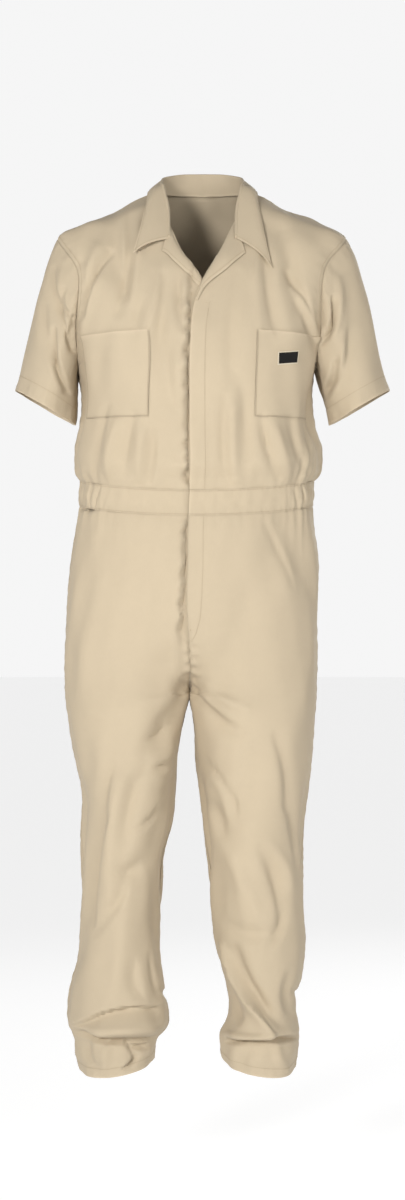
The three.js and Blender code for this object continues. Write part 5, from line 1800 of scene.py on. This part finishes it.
class BOILERSUIT_OT_pockets(bpy.types.Operator):
    """Makes the chest pockets and the plain label on the left one"""

    bl_idname = "boilersuit.pockets"
    bl_label = "Chest pockets and label"

    def execute(self, context):
        for side in SIGN:
            name, front = side + "_chest_pocket", side + "_front"
            v, u = np.mgrid[0:1:45j, 0:1:41j]
            gape = (1.7 + 0.5 * SIGN[side]) * np.exp(-(((1 - v) / 0.13) ** 2)) * np.sin(np.pi * u)
            panel = patch(side, faces_of(garment()[front]), CHEST_POCKET, 2.2 + gape)
            stitching(name + "_stitching", [(name, panel)])
            cloth_piece(name, panel, "laid", front, fine=True)
            if side == "left":
                label = patch(side, faces_of(panel), LABEL, np.full((13, 21), 1.2))
                stitching("label_stitching", [("label", label)])
                cloth_piece("label", label, "laid", name, True, "label_black")
        return {"FINISHED"}


class BOILERSUIT_OT_stage(bpy.types.Operator):
    """Makes the floor, the soft studio light and the camera"""

    bl_idname = "boilersuit.stage"
    bl_label = "Stage"

    def execute(self, context):
        scene = context.scene
        bpy.ops.mesh.primitive_circle_add(
            vertices=96, radius=30, fill_type="NGON", location=(0, 0, 0)
        )
        floor = context.object
        floor.name = "floor"
        for corner in floor.data.vertices:
            corner.co.z = FLOOR
        floor.data.materials.append(studio_floor())
        floor.select_set(False)
        scene.world = studio_sky()
        for row in LIGHTS:
            light = bpy.data.lights.new(row.name, "AREA")
            light.shape = "DISK"
            light.size = row.size
            light.energy = row.power
            light.spread = LIGHT_SPREAD
            lamp = bpy.data.objects.new(row.name, light)
            lamp.location = row.place
            aim = Vector(LIGHT_TARGET) - lamp.location
            lamp.rotation_euler = aim.to_track_quat("-Z", "Y").to_euler()
            scene.collection.objects.link(lamp)
        camera = bpy.data.cameras.new("camera")
        camera.sensor_fit = "VERTICAL"
        camera.sensor_height = SENSOR
        camera.lens = SENSOR * CAMERA_DISTANCE / FRAME_HEIGHT
        eye = bpy.data.objects.new("camera", camera)
        eye.location = (0, -CAMERA_DISTANCE, CAMERA_HEIGHT)
        eye.rotation_euler = (math.pi / 2, 0, 0)
        scene.collection.objects.link(eye)
        scene.camera = eye
        scene.view_settings.view_transform = "Standard"
        return {"FINISHED"}


class BOILERSUIT_PT_panel(bpy.types.Panel):
    """Lists the garment's pieces"""

    bl_idname = "BOILERSUIT_PT_panel"
    bl_label = "Boiler suit"
    bl_space_type = "VIEW_3D"
    bl_region_type = "UI"
    bl_category = "Boiler suit"

    def draw(self, context):
        for settings in (context.scene.boiler_suit_sizes, context.scene.boiler_suit_colours):
            for name in settings.__annotations__:
                self.layout.prop(settings, name)
        for operator in OPERATORS:
            self.layout.operator(operator.bl_idname)


OPERATORS = (
    BOILERSUIT_OT_bodice,
    BOILERSUIT_OT_sleeves,
    BOILERSUIT_OT_legs,
    BOILERSUIT_OT_waistband,
    BOILERSUIT_OT_collar,
    BOILERSUIT_OT_pockets,
    BOILERSUIT_OT_stage,
)
CLASSES = (BoilerSuitSizes, BoilerSuitColours, *OPERATORS, BOILERSUIT_PT_panel)


def register():
    for made in CLASSES:
        bpy.utils.register_class(made)
    bpy.types.Scene.boiler_suit_sizes = bpy.props.PointerProperty(type=BoilerSuitSizes)
    bpy.types.Scene.boiler_suit_colours = bpy.props.PointerProperty(type=BoilerSuitColours)


def unregister():
    del bpy.types.Scene.boiler_suit_colours
    del bpy.types.Scene.boiler_suit_sizes
    for made in reversed(CLASSES):
        bpy.utils.unregister_class(made)


def main():
    register()
    bpy.ops.object.select_all(action="DESELECT")
    bpy.ops.boilersuit.bodice()
    bpy.ops.boilersuit.sleeves()
    bpy.ops.boilersuit.legs()
    bpy.ops.boilersuit.waistband()
    bpy.ops.boilersuit.collar()
    bpy.ops.boilersuit.pockets()
    bpy.ops.boilersuit.stage()


if __name__ == "__main__":
    main()
